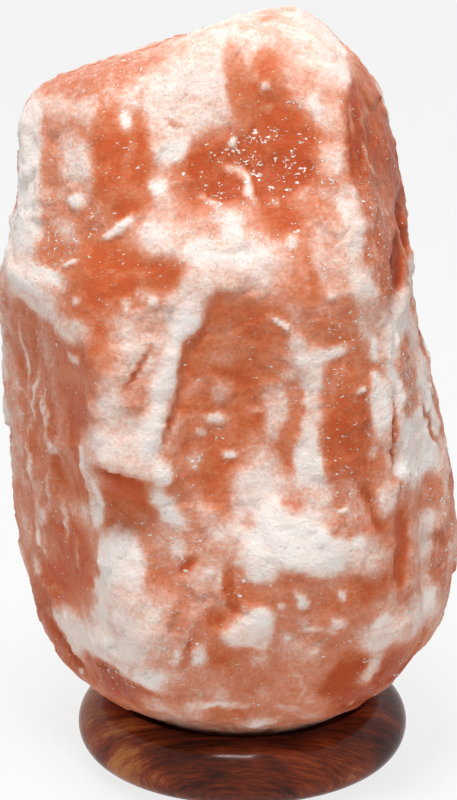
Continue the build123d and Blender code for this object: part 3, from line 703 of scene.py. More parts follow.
BACK_MARKS = {
    "dome": Mark(4, 284, 34, 20, 0, PALE),
    "pool": Mark(22, 246, 26, 20, -12, DEEP, 0.22, sparkle=0.5),
    "stroke": Mark(-16, 244, 20, 2.6, 47, WHITE, 0.45, 1.3),
    "stroke_end": Mark(-32, 232, 9, 5, 20, PALE, 0.5, 0.8),
    "spot_1": Mark(10, 262, 4, 3, -20, WHITE, 0.5, 0.8),
    "spot_2": Mark(40, 256, 3, 5, 12, PALE, 0.5, 0.6),
    "field": Mark(-44, 214, 20, 24, 0, ORANGE, red=0.1, sparkle=0.4),
    "band": Mark(14, 208, 28, 7, -15, PALE, 0.4, 1.8, relief=LEDGE),
    "band_end": Mark(-26, 206, 16, 4.4, 16, WHITE, 0.5, 1.2),
    "column": Mark(36, 176, 6.5, 26, 14, PALE, 0.45, 1.0),
    "column_foot": Mark(30, 146, 11, 8, -20, WHITE, 0.45, 0.8),
    "deep": Mark(6, 170, 16, 26, -6, DEEP, 0.2, red=0.15, sparkle=0.2),
    "slab": Mark(-34, 164, 12, 22, 14, PALE, 0.3, 1.6),
    "slab_lip": Mark(-38, 144, 14, 5, -12, WHITE, 0.4, 1.4, relief=LEDGE),
    "haze": Mark(-6, 146, 9, 12, 0, PINK, 0.6),
    "spot_3": Mark(2, 168, 3.4, 2.4, 0, WHITE, 0.5, 0.8),
    "spot_4": Mark(12, 152, 2.2, 3.4, 10, PALE, 0.5, 0.6),
    "gash": Mark(-34, 166, 16, 1.4, 62, ORANGE, 0.5, -1.6, 0.7),
    "shelf": Mark(14, 122, 26, 5, 10, PALE, 0.45, 1.8, relief=LEDGE),
    "shelf_end": Mark(-20, 116, 14, 4, -20, PINK, 0.5, 1.0),
    "low": Mark(20, 98, 24, 13, 0, ORANGE, red=0.3),
    "low_white": Mark(-26, 92, 14, 10, -24, WHITE, 0.35, 0.9),
    "low_tail": Mark(-10, 78, 9, 5, 20, PALE, 0.5, 0.5),
    "speck": Mark(34, 82, 4, 3, 0, PALE, 0.5, 0.7),
    "foot": Mark(0, 58, 44, 12, 0, PEACH, 0.4, red=0.2),
}

# Marks of the side that the photograph shows, from the top down.
FRONT_MARKS = {
    # dome
    "dome": Mark(6, 305, 46, 24, 0, PALE),
    "dome_cream": Mark(12, 305, 20, 12, -20, PINK, 0.6, strength=0.6),
    "dome_left": Mark(-24, 296, 24, 17, 20, PALE),
    "dome_peach_1": Mark(-22, 295, 5, 2.5, 0, SALMON, strength=0.5),
    "dome_peach_2": Mark(16, 312, 8, 4, -20, PINK, strength=0.6),
    "dome_crack": Mark(-26, 285, 3.5, 0.8, -28, SALMON, 0.3, -0.7, 0.3, relief=CRACK),
    "upper_left_band": Mark(-68, 286, 22, 6, 8, PALE),
    "top_rim": Mark(-56, 300, 26, 5.5, 20, SALMON, red=0.3),
    "band_rose": Mark(-53, 291, 5, 5, 0, SALMON, strength=0.7),
    "band_streak": Mark(-39.5, 294, 4, 1.6, 65, SALMON, strength=0.8),
    # upper left field
    "peach_field": Mark(-70, 268, 12, 18, 0, SALMON, 0.4),
    "left_edge": Mark(-88, 262, 9.5, 38, 2, WHITE, 0.35),
    "deep_field": Mark(-47, 268, 12, 20, 0, DEEP, 0.2, sparkle=0.25),
    "field_crown": Mark(-48, 286, 11, 5, 0, ORANGE, 0.5),
    "field_patch": Mark(-65, 270, 5, 8, 12, PALE, 0.45, 0.5),
    "field_spot_1": Mark(-64.5, 254, 3, 2.8, 0, WHITE, 0.3, 0.6),
    "field_spot_2": Mark(-62, 260, 2.4, 2.4, 0, PINK, 0.6, sparkle=0.8),
    "field_spot_3": Mark(-76, 252, 1.3, 3.4, 0, PINK),
    "crown_drop": Mark(-46, 287, 2.4, 4, 5, WHITE, 0.3, 0.5),
    "thin_veins": Mark(-43.5, 274, 2.2, 7, -8, SALMON, 0.7, sparkle=0.9, strength=0.8),
    "column": Mark(-31, 262, 3.6, 20, 3, PINK, 0.5),
    "column_head": Mark(-27.5, 275, 7, 4.6, 0, WHITE, 0.5),
    "column_spot": Mark(-32, 262.5, 3, 3, 0, WHITE, 0.5),
    # bowl under the dome
    "bowl_left": Mark(-10, 265, 13, 14, 0, DEEP, 0.25, red=0.35, sparkle=0.8),
    "bowl_band": Mark(-4, 298, 3.6, 12, 0, PEACH, 0.5),
    "bowl_upper": Mark(9, 297, 10, 11, -32, ORANGE, 0.25, sparkle=0.35),
    "bowl_middle": Mark(12, 285, 14, 5.4, -4, DEEP, sparkle=0.3),
    "bowl_low": Mark(11, 268, 18, 15, 0, DEEP, 0.25, red=0.45, sparkle=0.9),
    "bowl_glitter": Mark(13, 278, 14, 5, 0, DEEP, 0.5, red=0.2, sparkle=1.0, strength=0.8),
    "bowl_specks_1": Mark(4, 302, 1.6, 1.6, 0, PINK),
    "bowl_specks_2": Mark(7.5, 299, 2.2, 1.5, 0, PALE),
    "dome_right": Mark(27, 308, 11, 6, -35, PALE, 0.5),
    "bowl_specks_3": Mark(8, 288.5, 3.2, 1.3, 0, SALMON, 0.6, sparkle=0.9),
    "bowl_lip": Mark(20, 300, 10, 5, -35, PINK, 0.35),
    "bowl_lip_low": Mark(29, 289, 3, 6, 10, PALE, 0.4),
    "bowl_right_rose": Mark(35, 288, 5, 8, 0, PINK, 0.4),
    "bowl_spot_1": Mark(-5, 276, 1.6, 2, 0, WHITE, 0.3, 0.5),
    "bowl_spot_2": Mark(-6, 267, 3.4, 1.5, -10, PINK, 0.5),
    "bowl_spot_3": Mark(-13, 254.5, 3.4, 1.3, -22, PALE),
    "bowl_spot_4": Mark(-17, 257, 2, 1.6, 0, PINK, 0.6, sparkle=0.9),
    "bowl_ridge": Mark(1.5, 260, 8.5, 1.7, -56, PALE, 0.3, 0.9),
    "bowl_patch": Mark(33.5, 271, 5.6, 6.6, 0, PINK, 0.35, 0.4),
    "bowl_glitter_low": Mark(32, 260, 6, 4, 0, SALMON, 0.5, red=0.3, sparkle=1.0),
    "bowl_salmon": Mark(24, 255, 6, 5, 0, SALMON, 0.5, sparkle=0.5),
    "bowl_spot_5": Mark(13.5, 255.5, 2, 2.3, 0, PALE, 0.5),
    "bright_edge": Mark(39.5, 296, 1.7, 5, 3, WHITE, 0.3, 0.8),
    "edge_above": Mark(38, 304, 4, 5, 10, PALE, 0.4),
    # facet right of the bright edge
    "side_facet": Mark(52, 268, 11, 34, 12, ORANGE, 0.2, red=0.55),
    "side_top": Mark(46, 300, 4.4, 5.5, 35, SALMON, 0.5, red=0.1),
    "side_orange": Mark(47.5, 290, 4, 8, 15, ORANGE, 0.4, red=0.2),
    "side_salmon": Mark(47, 283, 2.6, 2, 45, SALMON, red=0.2),
    # side_red: the salt's deep red, and painted shade in its groove
    "side_red": Mark(43.5, 272, 2.7, 17, 4, DEEP, 0.3, -0.9, 0.7),
    "side_streak": Mark(41.5, 284, 0.9, 6, 6, SALMON, 0.5, red=0.2),
    "side_thread": Mark(48.5, 268, 7.5, 0.6, -66, PINK, 0.3, 0.3, 0.3),
    "side_low": Mark(50, 240, 8, 24, 14, SALMON, 0.35, red=0.45, sparkle=0.5),
    "side_low_pale": Mark(57, 252, 3, 8, 10, PINK, 0.6, red=0.4, strength=0.6),
    # white ledge
    "ledge": Mark(-15, 243, 25, 7.5, 0, PALE, 0.22, 0.8, strength=0.85, relief=LEDGE),
    "ledge_low": Mark(-3, 232, 17, 9, 0, PALE),
    "ledge_upper": Mark(-14, 249.5, 17, 4.4, 2, PINK, 0.15, 0.8),
    "ledge_white": Mark(-34, 246, 5.5, 7, 0, PALE, 0.4),
    "ledge_rough": Mark(-17, 246, 6, 3.4, -5, PINK, 0.5, sparkle=0.8),
    "ledge_bright": Mark(-4, 246, 4.6, 4, 0, WHITE, 0.6, strength=0.7),
    "ledge_brow": Mark(-8, 237, 18, 3, -3, WHITE, 0.6, strength=0.7),
    "ledge_peach": Mark(3, 245, 4, 4, 0, SALMON, 0.5),
    "ledge_orange": Mark(14, 250, 7, 6, -10, DEEP, 0.35, red=0.1, sparkle=0.5),
    "ledge_nib": Mark(17.5, 242, 2.6, 3, 0, PALE, 0.5),
    "ledge_end": Mark(14, 229, 4, 9, 10, PINK, 0.4),
    # field between the ledge and the slab
    "middle_field": Mark(-53, 224, 14, 18, -12, DEEP, 0.22, sparkle=0.3),
    "pocket": Mark(-32, 230, 9, 6.4, 0, DEEP, 0.2, -0.9),
    "field_low": Mark(-45, 208, 15, 8.5, 0, SALMON, 0.4),
    "field_low_orange": Mark(-57, 202, 2.6, 9, -8, ORANGE, 0.5),
    "white_stroke": Mark(-48, 247, 7.5, 1.5, 33, WHITE, 0.35, 1.5),
    "small_stroke": Mark(-67, 231.5, 4, 1.1, 25, WHITE, 0.3, 0.7),
    "field_spot_4": Mark(-44.5, 219, 1.7, 3.2, -10, PALE, 0.3, 0.5),
    "field_haze": Mark(-37, 221, 3.6, 4, 20, PINK, 0.5),
    "field_spot_5": Mark(-34.5, 219.5, 1.7, 2.6, 12, WHITE, 0.3, 0.7),
    "field_spot_6": Mark(-65.5, 217, 1.8, 2, 0, PALE, 0.5),
    # left shoulder and the side under it
    "left_glitter": Mark(-70, 244, 7, 4, -10, PINK, 0.5, sparkle=0.8),
    "left_orange": Mark(-75, 233, 6, 4, -10, PEACH, 0.45),
    "shoulder": Mark(-86, 218, 11, 8, -10, PALE, 0.25, 1.6, relief=LEDGE),
    "shoulder_white": Mark(-77, 225, 8, 3.2, -12, WHITE, 0.4),
    # under_shoulder: painted shade under the shoulder's ledge
    "under_shoulder": Mark(-86.5, 208, 4, 4, -25, ORANGE, 0.35, -0.8, 0.1),
    "left_side": Mark(-83, 146, 13, 54, 3, PEACH, red=0.2),
    "left_rim": Mark(-94, 160, 3.4, 52, 3, PINK, 0.6, red=0.2),
    "left_pale_1": Mark(-67, 206, 6.4, 4.6, -12, PALE, 0.5),
    "left_field": Mark(-66, 196, 9, 6, -15, ORANGE, 0.4, red=0.15),
    "left_pale_2": Mark(-65.5, 194, 2.2, 2.6, 0, PALE, 0.5),
    "left_pale_3": Mark(-76, 189, 5, 4.4, -20, SALMON, 0.6, red=0.4),
    "left_deep": Mark(-66, 173, 9, 9.5, -15, DEEP, 0.25, red=0.15, sparkle=0.3),
    "left_deep_2": Mark(-70, 147, 6, 18, 5, DEEP, 0.4, red=0.15),
    "left_pale_4": Mark(-74, 151, 3.4, 4, 20, PALE, 0.6, red=0.3),
    "left_pale_5": Mark(-81.5, 116, 1.4, 5, -20, PALE, 0.5, red=0.2),
    "left_deep_3": Mark(-70, 108, 9, 11, 0, DEEP, red=0.15),
    "left_deep_4": Mark(-76, 90, 7, 10, -12, DEEP, red=0.15),
    "left_deep_5": Mark(-64, 92, 4.6, 12, 20, DEEP, 0.35, red=0.15),
    "left_veil_1": Mark(-78, 186, 2.2, 22, 12, PINK, 0.6, red=0.3, strength=0.8),
    "left_veil_2": Mark(-71, 152, 2.4, 16, 8, PINK, 0.6, red=0.2, strength=0.8),
    "left_veil_3": Mark(-84, 122, 2.2, 12, 4, PINK, 0.6, red=0.2, strength=0.8),
    "left_thread_1": Mark(-89, 186, 0.9, 15, 5, PALE, 0.6, red=0.1),
    "left_thread_2": Mark(-85, 168, 0.8, 11, -4, PALE, 0.6, red=0.1),
    "left_thread_3": Mark(-79, 163, 0.9, 9, 7, PALE, 0.6, red=0.1),
    "left_thread_4": Mark(-87, 140, 0.9, 13, 2, PALE, 0.6, red=0.1),
    "left_thread_5": Mark(-79, 128, 0.8, 9, -6, PINK, 0.6, red=0.1),
    "left_thread_6": Mark(-72, 118, 0.9, 8, 8, PINK, 0.6, red=0.1),
    "left_thread_7": Mark(-67, 104, 0.8, 8, 3, PINK, 0.6, red=0.1),
    "left_thread_8": Mark(-84, 104, 0.9, 9, 12, PALE, 0.6, red=0.1),
    "shoulder_body": Mark(-82, 215, 9.5, 7.5, -18, PALE, 0.35, 0.8),
    "shoulder_crest": Mark(-84, 220, 8, 2.6, -15, WHITE, 0.5, 0.5),
    "shoulder_tail": Mark(-70, 206, 8, 3.6, -38, PALE, 0.5),
    "left_pale_6": Mark(-86, 89, 2, 5, 10, PALE, 0.5, red=0.2),
    # raised slab
    "slab": Mark(-42, 186, 33, 12.5, 70, PINK, 0.25, 0.8),
    "slab_face": Mark(-43, 184, 24, 8.5, 72, PALE, 0.6, strength=0.5),
    "slab_milk": Mark(-42, 192, 9, 14, -10, PALE, 0.7, strength=0.45),
    "slab_pale": Mark(-47, 168, 10, 14, -10, PALE, 0.5),
    "slab_head": Mark(-24, 216, 9, 5.5, 62, PALE, 0.4, 0.6),
    "slab_peach": Mark(-42, 184, 5, 7, 15, SALMON, 0.7, strength=0.8),
    "slab_rose": Mark(-51, 200, 6, 6, 0, SALMON, 0.7, strength=0.7),
    "slab_gash": Mark(-41, 194, 9, 1.0, 57, ORANGE, 0.6, -1.2, 0.4, strength=0.8),
    "slab_rib_1": Mark(-24, 206, 15, 3.8, 68, WHITE, 0.5, 1.2),
    "slab_rib_2": Mark(-30.5, 189, 9, 3.8, 56, WHITE, 0.5, 1.2),
    "slab_rib_3": Mark(-35.5, 172, 13, 3.8, 76, WHITE, 0.5, 1.2),
    "slab_shade_1": Mark(-18.5, 205, 13, 1.5, 70, ORANGE, 0.5, -1.8, 0.5),
    "slab_shade_2": Mark(-27, 178, 17, 1.6, 68, ORANGE, 0.5, -1.8, 0.5),
    "slab_chunk": Mark(-47, 163, 14, 5.5, 0, PALE, 0.3, 0.9),
    "slab_corner": Mark(-36, 164, 3, 4.6, -20, WHITE, 0.3, 0.7),
    "slab_lip": Mark(-44, 155, 13, 4.4, 172, PALE, 0.3, 1.9, relief=LEDGE),
    "slab_lip_end": Mark(-33, 153, 3.4, 4.4, 0, WHITE, 0.4, 1.2),
    # under_slab: painted shade, dark brown-red under the slab's overhanging lip
    "under_slab": Mark(-49, 149.5, 9, 1.8, -10, ORANGE, 0.6, -2.2, 0.8),
    "recess": Mark(-46, 139.5, 11, 11, -20, DEEP, 0.1, -0.4, 0.05, sparkle=0.0),
    "recess_low": Mark(-47, 127, 11, 4.6, -6, ORANGE, 0.4, sparkle=0.7),
    "recess_left": Mark(-58.5, 134, 3.4, 11.5, 12, WHITE, 0.4, 1.0),
    "recess_left_2": Mark(-62, 146, 2.4, 14, 10, PINK, 0.5),
    "recess_right": Mark(-31, 138.5, 11.5, 3.6, -56, WHITE, 0.35, 1.3),
    # smooth middle
    "middle": Mark(-12, 180, 12, 44, 0, ORANGE, 0.14, sparkle=0.3),
    "middle_top": Mark(2, 206, 15, 15, 0, ORANGE, 0.2, sparkle=0.12),
    "middle_right": Mark(3, 186, 10, 18, 15, ORANGE, red=0.05, sparkle=0.15),
    "middle_haze_1": Mark(-8, 197, 4, 3.4, 0, SALMON, 0.5),
    "middle_light": Mark(0, 211, 15, 16, 0, PEACH, 0.8, strength=0.4),
    "middle_haze_2": Mark(-8, 184, 4.4, 4, -20, PINK, 0.5),
    "middle_spot_1": Mark(-11, 172.5, 4, 2.6, -5, PALE, 0.4, 0.4),
    "middle_spot_2": Mark(-17, 167, 2.6, 1.7, -30, PINK),
    "middle_spot_3": Mark(-6, 158, 3, 2.3, -15, WHITE, 0.3, 0.6),
    "middle_spot_4": Mark(3, 164.5, 3, 1.5, -20, SALMON),
    "middle_spot_5": Mark(-19, 155, 3, 4, 0, SALMON, 0.6, sparkle=0.8),
    "middle_spot_6": Mark(5, 176, 2, 1.2, 0, PINK),
    "rib_join": Mark(-19.5, 223, 9, 6, 55, PALE, 0.4, 0.8),
    "rib_join_low": Mark(-22, 212, 7, 3, 66, WHITE, 0.5, 0.8),
    # pale star and the white under it
    "star_heart": Mark(26, 196, 7.5, 7, -20, PALE, 0.4, 0.6),
    "star_neck": Mark(21.5, 203.5, 5, 2.6, -35, PALE, 0.5, 0.5),
    "star_left_arm": Mark(14, 211, 6, 1.3, -42, WHITE, 0.4, 0.8),
    "star_top_arm": Mark(21, 206, 4, 2, -30, PALE, 0.3, 0.5),
    "star_leg": Mark(26.5, 176, 3.8, 20, 2, PALE, 0.4, 0.5),
    "star_leg_low": Mark(25, 152, 5, 14, 0, WHITE, 0.4),
    "star_left_leg": Mark(11.5, 176, 4.8, 12, 8, PALE, 0.35, 0.5, strength=0.85),
    "star_left_bend": Mark(17, 188, 5.5, 3, 40, PINK, 0.5, 0.3),
    "star_left_low": Mark(8, 154, 7, 9, -25, PINK, 0.45),
    "star_gap": Mark(18, 163, 2.2, 8, -6, ORANGE, 0.4),
    "star_gap_top": Mark(18, 184, 3, 4, 0, SALMON, 0.5, red=0.2, sparkle=0.7),
    "white_haze": Mark(9, 145, 12, 7, 5, PALE, 0.35),
    "white_field": Mark(17, 126, 19, 15, 0, WHITE, 0.22, 0.4),
    "white_field_right": Mark(35, 119, 8, 8, 0, WHITE, 0.4, 0.4),
    "white_field_top": Mark(28, 141, 9, 7, 0, PALE, 0.5),
    "white_foot": Mark(8, 110, 6, 3.6, -10, WHITE, 0.4, 0.5),
    "white_spot": Mark(20, 141, 4, 5, -15, SALMON, 0.6, strength=0.7),
    "white_rose": Mark(3, 133, 3, 4, 0, PINK, 0.6),
    # right of the star
    "strip_salmon": Mark(22, 225, 4, 17, -12, SALMON),
    "strip_deep": Mark(27.5, 231, 7.5, 2.3, -72, DEEP, 0.3, -0.8, 0.1),
    "strip_pale": Mark(35, 235, 8, 15, 8, PINK, 0.35),
    "nodule": Mark(33.6, 221, 1.7, 1.7, 0, PALE, 0.4, 1.2),
    "right_field": Mark(38, 208, 13, 10, -10, PEACH, red=0.1, sparkle=0.7),
    "right_low": Mark(42, 188, 11, 16, 0, ORANGE, red=0.15, sparkle=0.5),
    "right_red": Mark(42, 163, 10.5, 20, 0, ORANGE, 0.25, red=0.3, sparkle=0.5),
    "right_haze": Mark(41, 145, 6.5, 4, 0, SALMON, 0.5, red=0.3, sparkle=0.9),
    "star_right_arm": Mark(33, 197.5, 8, 2.6, 12, PALE, 0.4, 0.5),
    "right_salmon": Mark(41, 134, 8.5, 6.5, -10, SALMON, 0.4, red=0.2),
    "right_dot": Mark(37.5, 136.5, 1.3, 1.1, 0, WHITE, 0.3, 0.5),
    "right_slash": Mark(50.5, 136, 11.5, 2.3, -70, DEEP, 0.4, -1.2, 0.6),
    "edge_white_1": Mark(41, 246, 4, 14, 8, PALE, 0.4, 0.5),
    "edge_white_2": Mark(45, 224, 5, 10, 18, PALE, 0.4, 0.5),
    "edge_white_3": Mark(49, 207, 4, 12, 10, PINK, 0.5),
    "edge_white_4": Mark(52, 197, 1.8, 5, 12, WHITE),
    "edge_white_5": Mark(51.5, 186, 1.8, 2.4, 0, WHITE),
    "edge_white_6": Mark(54, 175, 4.4, 11, 5, WHITE, 0.45, 0.4),
    "edge_white_7": Mark(57, 156, 2.2, 9, 5, PINK, 0.5),
    "edge_spot_1": Mark(46, 183, 2, 1.7, 0, PALE, 0.5),
    "edge_spot_2": Mark(51, 159, 2, 2.4, 0, PINK, 0.6),
    "wedge": Mark(56, 138, 5, 6, -25, PALE, 0.35, 0.8),
    # crevice and lobe; the crevice's dark red is partly painted shade
    "crevice_wall": Mark(56, 226, 3.4, 20, 10, PEACH, 0.4, red=0.5, sparkle=0.6),
    "crevice": Mark(62, 229, 3.4, 20, -7, DEEP, 0.25, -3.0, 1.0),
    "crevice_low": Mark(59.8, 186, 1.1, 34, 0, DEEP, 0.4, -1.6, 0.9),
    "crevice_end": Mark(60.5, 150, 0.9, 12, 4, PEACH, 0.6, -1.0, 0.8),
    # lobe: partly painted light, its white raised to stand for the light on a side turned from the lamp
    "lobe": Mark(68, 170, 8, 44, 12, WHITE),
    "lobe_nodule": Mark(63.5, 211, 3.6, 5.4, 10, PALE, 0.4, 1.6),
    "lobe_speckle": Mark(64.5, 186, 3.4, 12, 8, SALMON, 0.4, red=0.3, sparkle=1.0),
    "lobe_pale": Mark(71, 186, 4, 12, 22, PALE, 0.5),
    "lobe_glitter": Mark(66, 170, 4, 4, 0, SALMON, 0.5, red=0.2, sparkle=1.0),
    "lobe_white_1": Mark(62.5, 147, 2.6, 5.4, 0, WHITE, 0.4, 0.5),
    "lobe_white_2": Mark(70, 146, 6, 9, 8, WHITE, 0.5, 0.5),
    "lobe_seam": Mark(75.5, 155, 11, 0.8, -66, SALMON, 0.3, -0.9, 0.7),
    "lobe_salmon": Mark(73, 129, 8, 7, 0, SALMON, 0.4),
    "lobe_white_3": Mark(74, 118, 5, 4.4, 0, PALE, 0.5),
    "lobe_brown": Mark(80, 100, 4, 15, 0, SALMON, 0.4, red=0.5, sparkle=0.5),
    "lobe_grey": Mark(74, 108, 4, 6, 0, PALE, 0.6, red=0.2),
    "lobe_streak": Mark(68, 105, 2, 14, 3, PINK, 0.5, red=0.2, sparkle=0.7),
    "lobe_groove": Mark(62.5, 115, 2.4, 17, 0, DEEP, 0.35, -1.6, 0.3),
    "lobe_edge": Mark(83, 135, 2.4, 12, 0, PALE, 0.5, red=0.1),
    "lobe_foot": Mark(73, 84, 8, 9, 30, PALE, 0.4, 0.5),
    "lobe_foot_white": Mark(74.5, 86, 2.6, 4.6, 5, WHITE),
    # under the white field
    "low_right": Mark(44, 103, 15, 6, 5, ORANGE, red=0.3),
    "low_field": Mark(24, 96, 20, 14, 0, PEACH, 0.35, sparkle=0.2),
    "low_right_mix": Mark(49, 116, 9, 8, 10, PALE, 0.5, sparkle=0.4, strength=0.8),
    "low_right_white": Mark(45, 123, 3, 2.8, 0, WHITE, 0.5),
    "low_star": Mark(38.5, 102, 1.4, 2.2, 0, WHITE, 0.5),
    "low_blob": Mark(23.5, 100, 2.6, 3, 0, WHITE, 0.3, 0.9),
    "low_dot": Mark(16, 96.5, 1.6, 1.5, 0, PALE, 0.3, 0.5),
    "low_flake": Mark(26, 86, 4.4, 1.6, 12, PINK, 0.3, 0.6),
    "low_dot_2": Mark(36.5, 90, 2.4, 2.6, -15, PALE, 0.3, 0.6),
    "low_dot_3": Mark(35, 84, 2, 2, 0, PINK, 0.6),
    "low_dot_4": Mark(17.5, 82, 1.6, 1.4, 0, PALE, 0.5),
    "low_right_deep": Mark(50, 58, 18, 18, 24, DEEP, red=0.55),
    "low_right_pale": Mark(33, 70, 4, 10, -20, SALMON, 0.5, strength=0.7),
    "low_clear": Mark(23, 57, 7, 13, -12, PEACH, 0.5, sparkle=0.1),
    "low_white": Mark(56, 81.5, 10.5, 9.5, 20, PALE, 0.4, 0.6),
    "low_white_tail": Mark(51, 66, 3.4, 8, -30, PINK, 0.5),
    "low_white_spot": Mark(54, 87, 4, 2.4, 10, WHITE, 0.4),
    "low_fleck": Mark(44, 47, 1.4, 1.6, 0, PALE),
    "low_right_dots": Mark(59.5, 96, 2.4, 3.4, 0, PINK, 0.5),
    # middle of the foot
    "rough_field": Mark(-14, 104, 10, 12, -15, PINK, sparkle=0.5),
    "rough_band": Mark(-13, 131, 14, 3.6, -58, PINK, 0.35, 0.5),
    "rough_shelf": Mark(-24, 119, 17, 5.4, 0, SALMON, 0.4, sparkle=0.8),
    "rough_white": Mark(-25.5, 119, 3.4, 4.4, 0, PALE, 0.4),
    "rough_gash": Mark(-22, 112.5, 6, 1.7, 43, DEEP, 0.4, -1.1, 0.3),
    "gap_1": Mark(-5, 103, 2.4, 10, 4, DEEP, 0.35, -1.0, 0.3),
    "gap_2": Mark(-11, 91, 3.4, 4.4, 0, DEEP, 0.3, -0.8, 0.3),
    "gap_3": Mark(-10.5, 80, 3.4, 8, 10, ORANGE, 0.35),
    "gap_4": Mark(-20, 80, 2, 7, -20, ORANGE, 0.4, -0.6, 0.2),
    "gap_5": Mark(3, 102, 3, 4, 0, ORANGE, 0.5),
    "peach_slope": Mark(-30, 97, 8, 13, -10, SALMON, 0.45),
    "peach_veil": Mark(-26, 97, 12, 12, -10, ORANGE, 0.8, red=0.1, strength=0.5),
    "foot_patch_1": Mark(-16.5, 76, 2.6, 4.4, 15, PALE, 0.4),
    "white_block": Mark(3.5, 87.5, 6.6, 7.6, 0, WHITE, 0.3, 0.6),
    "block_corner_1": Mark(7, 92, 4, 5, 0, WHITE, 0.4, 0.4),
    "block_corner_2": Mark(-2.5, 85, 5, 6, -30, PALE, 0.5, 0.3),
    "block_corner_3": Mark(7.5, 82, 3.6, 5, 0, PALE, 0.4, 0.3),
    "block_tail": Mark(6, 68, 4.4, 8.5, 6, PALE, 0.45, strength=0.8),
    # white chunk of the lower left
    "chunk": Mark(-49, 106, 9.5, 19, -8, WHITE, 0.22, 0.6),
    "chunk_slope": Mark(-46, 86, 14, 20, -14, PALE, 0.35, 0.6),
    "chunk_milk": Mark(-52, 84, 12, 8, -10, WHITE, 0.6, strength=0.6),
    "chunk_left": Mark(-68, 68, 11, 8.5, -42, PALE, 0.2, 0.9),
    "chunk_left_in": Mark(-57, 68, 9, 8.5, -10, PALE, 0.3, 0.6),
    "chunk_foot": Mark(-40, 65.5, 18, 9, -14, PALE, 0.25, 0.6),
    "chunk_white": Mark(-52, 76, 6, 4, 20, WHITE, 0.5),
    "chunk_white_2": Mark(-37, 66, 5, 4, -20, WHITE, 0.5),
    "chunk_side": Mark(-26.5, 76, 1.8, 4.4, -10, PALE, 0.4),
    "ledge_shade": Mark(-74, 59, 13, 1.6, -44, ORANGE, 0.4, -1.8, 0.75),
    "foot_red": Mark(-50, 55, 14, 7, -10, DEEP, 0.12, -0.5, 0.45),
    "foot_edge": Mark(-76, 58, 4.4, 18, 27, ORANGE, red=0.4),
    "foot_fleck": Mark(-67.5, 50, 2, 1.6, -30, PALE),
    "chunk_brink": Mark(-64, 61, 9.5, 5, -36, PALE, 0.35, 0.5),
    "chunk_cream": Mark(-66, 67, 11, 7, -38, WHITE, 0.5, strength=0.6),
    "foot_red_core": Mark(-49, 56, 13, 6, -12, DEEP, 0.2, red=0.7),
    # foot
    "foot_salmon": Mark(-4, 60, 24, 9, 0, SALMON, 0.45),
    "foot_wave": Mark(-10, 51, 13, 1.2, 4, PALE, 0.5, 0.6),
    "foot_haze": Mark(-26, 46, 14, 5, -14, PINK, 0.5),
    "foot_grey": Mark(-30, 50, 12, 4.4, -14, PINK, 0.5),
    "foot_orange": Mark(-7, 45.5, 7.4, 4.2, 8, ORANGE),
    "foot_pale": Mark(9, 43, 10, 3, 6, PALE, 0.5),
    "foot_right": Mark(24, 48, 10, 7, 0, SALMON, 0.5),
    "foot_right_red": Mark(60, 50, 12, 9, 38, DEEP, 0.4, red=0.5),
    "foot_low": Mark(2, 36, 26, 2.6, 0, SALMON, 0.5),
}


@dataclass(frozen=True)
class Side:
    """A side of the lump: the two axes that its marks are measured along, and where they show."""

    marks: dict[str, Mark]
    axes: tuple[int, int]
    outward: tuple[float, float, float]
    turned: tuple[float, float] = (0.5, 0.8)
    wander: tuple[float, float] = (7.5, 1.8)
    fades: tuple[float, float] | None = None


# The front comes last, over the others. It reaches farther round, is drawn more truly, and fades out
# behind the axis.
SIDES = (
    Side(TOP_MARKS, (0, 1), (0.0, 0.0, 1.0)),
    Side(RIGHT_MARKS, (1, 2), (1.0, 0.0, 0.1)),
    Side(LEFT_MARKS, (1, 2), (-1.0, 0.0, 0.1)),
    Side(BACK_MARKS, (0, 2), (0.0, 1.0, 0.1)),
    Side(FRONT_MARKS, (0, 2), (0.0, -1.0, 0.15), (0.02, 0.2), (2.6, 0.9), (12.0, -6.0)),
)


@dataclass(frozen=True)
class Chipping:
    """One size of hewn chips: their height in mm where clear and what frost adds, on a skin that sways."""

    size: float
    clear: float
    frosted: float
    seed: int
    sway: float = 0.0
    sway_size: float = 10.0
    sway_seed: int = 0

    def height(self, skin: Array, frost: Array) -> Array:
        """The height of the chips.

        Args:
            skin: Places in mm.
            frost: How frosted they are.

        Returns:
            The height at each place.
        """
        if self.sway:
            skin = skin + self.sway * fractal(skin, self.sway_size, 2, self.sway_seed)[..., None]
        return (self.clear + self.frosted * frost) * chips(skin, self.size, self.seed)


CHIPPINGS = (
    Chipping(27.0, 0.9, 0.0, 89, 2.0, 12.0, 7),
    Chipping(12.0, 0.4, 0.5, 101, 1.5, 9.0, 5),
    Chipping(5.2, 0.15, 0.2, 131),
)


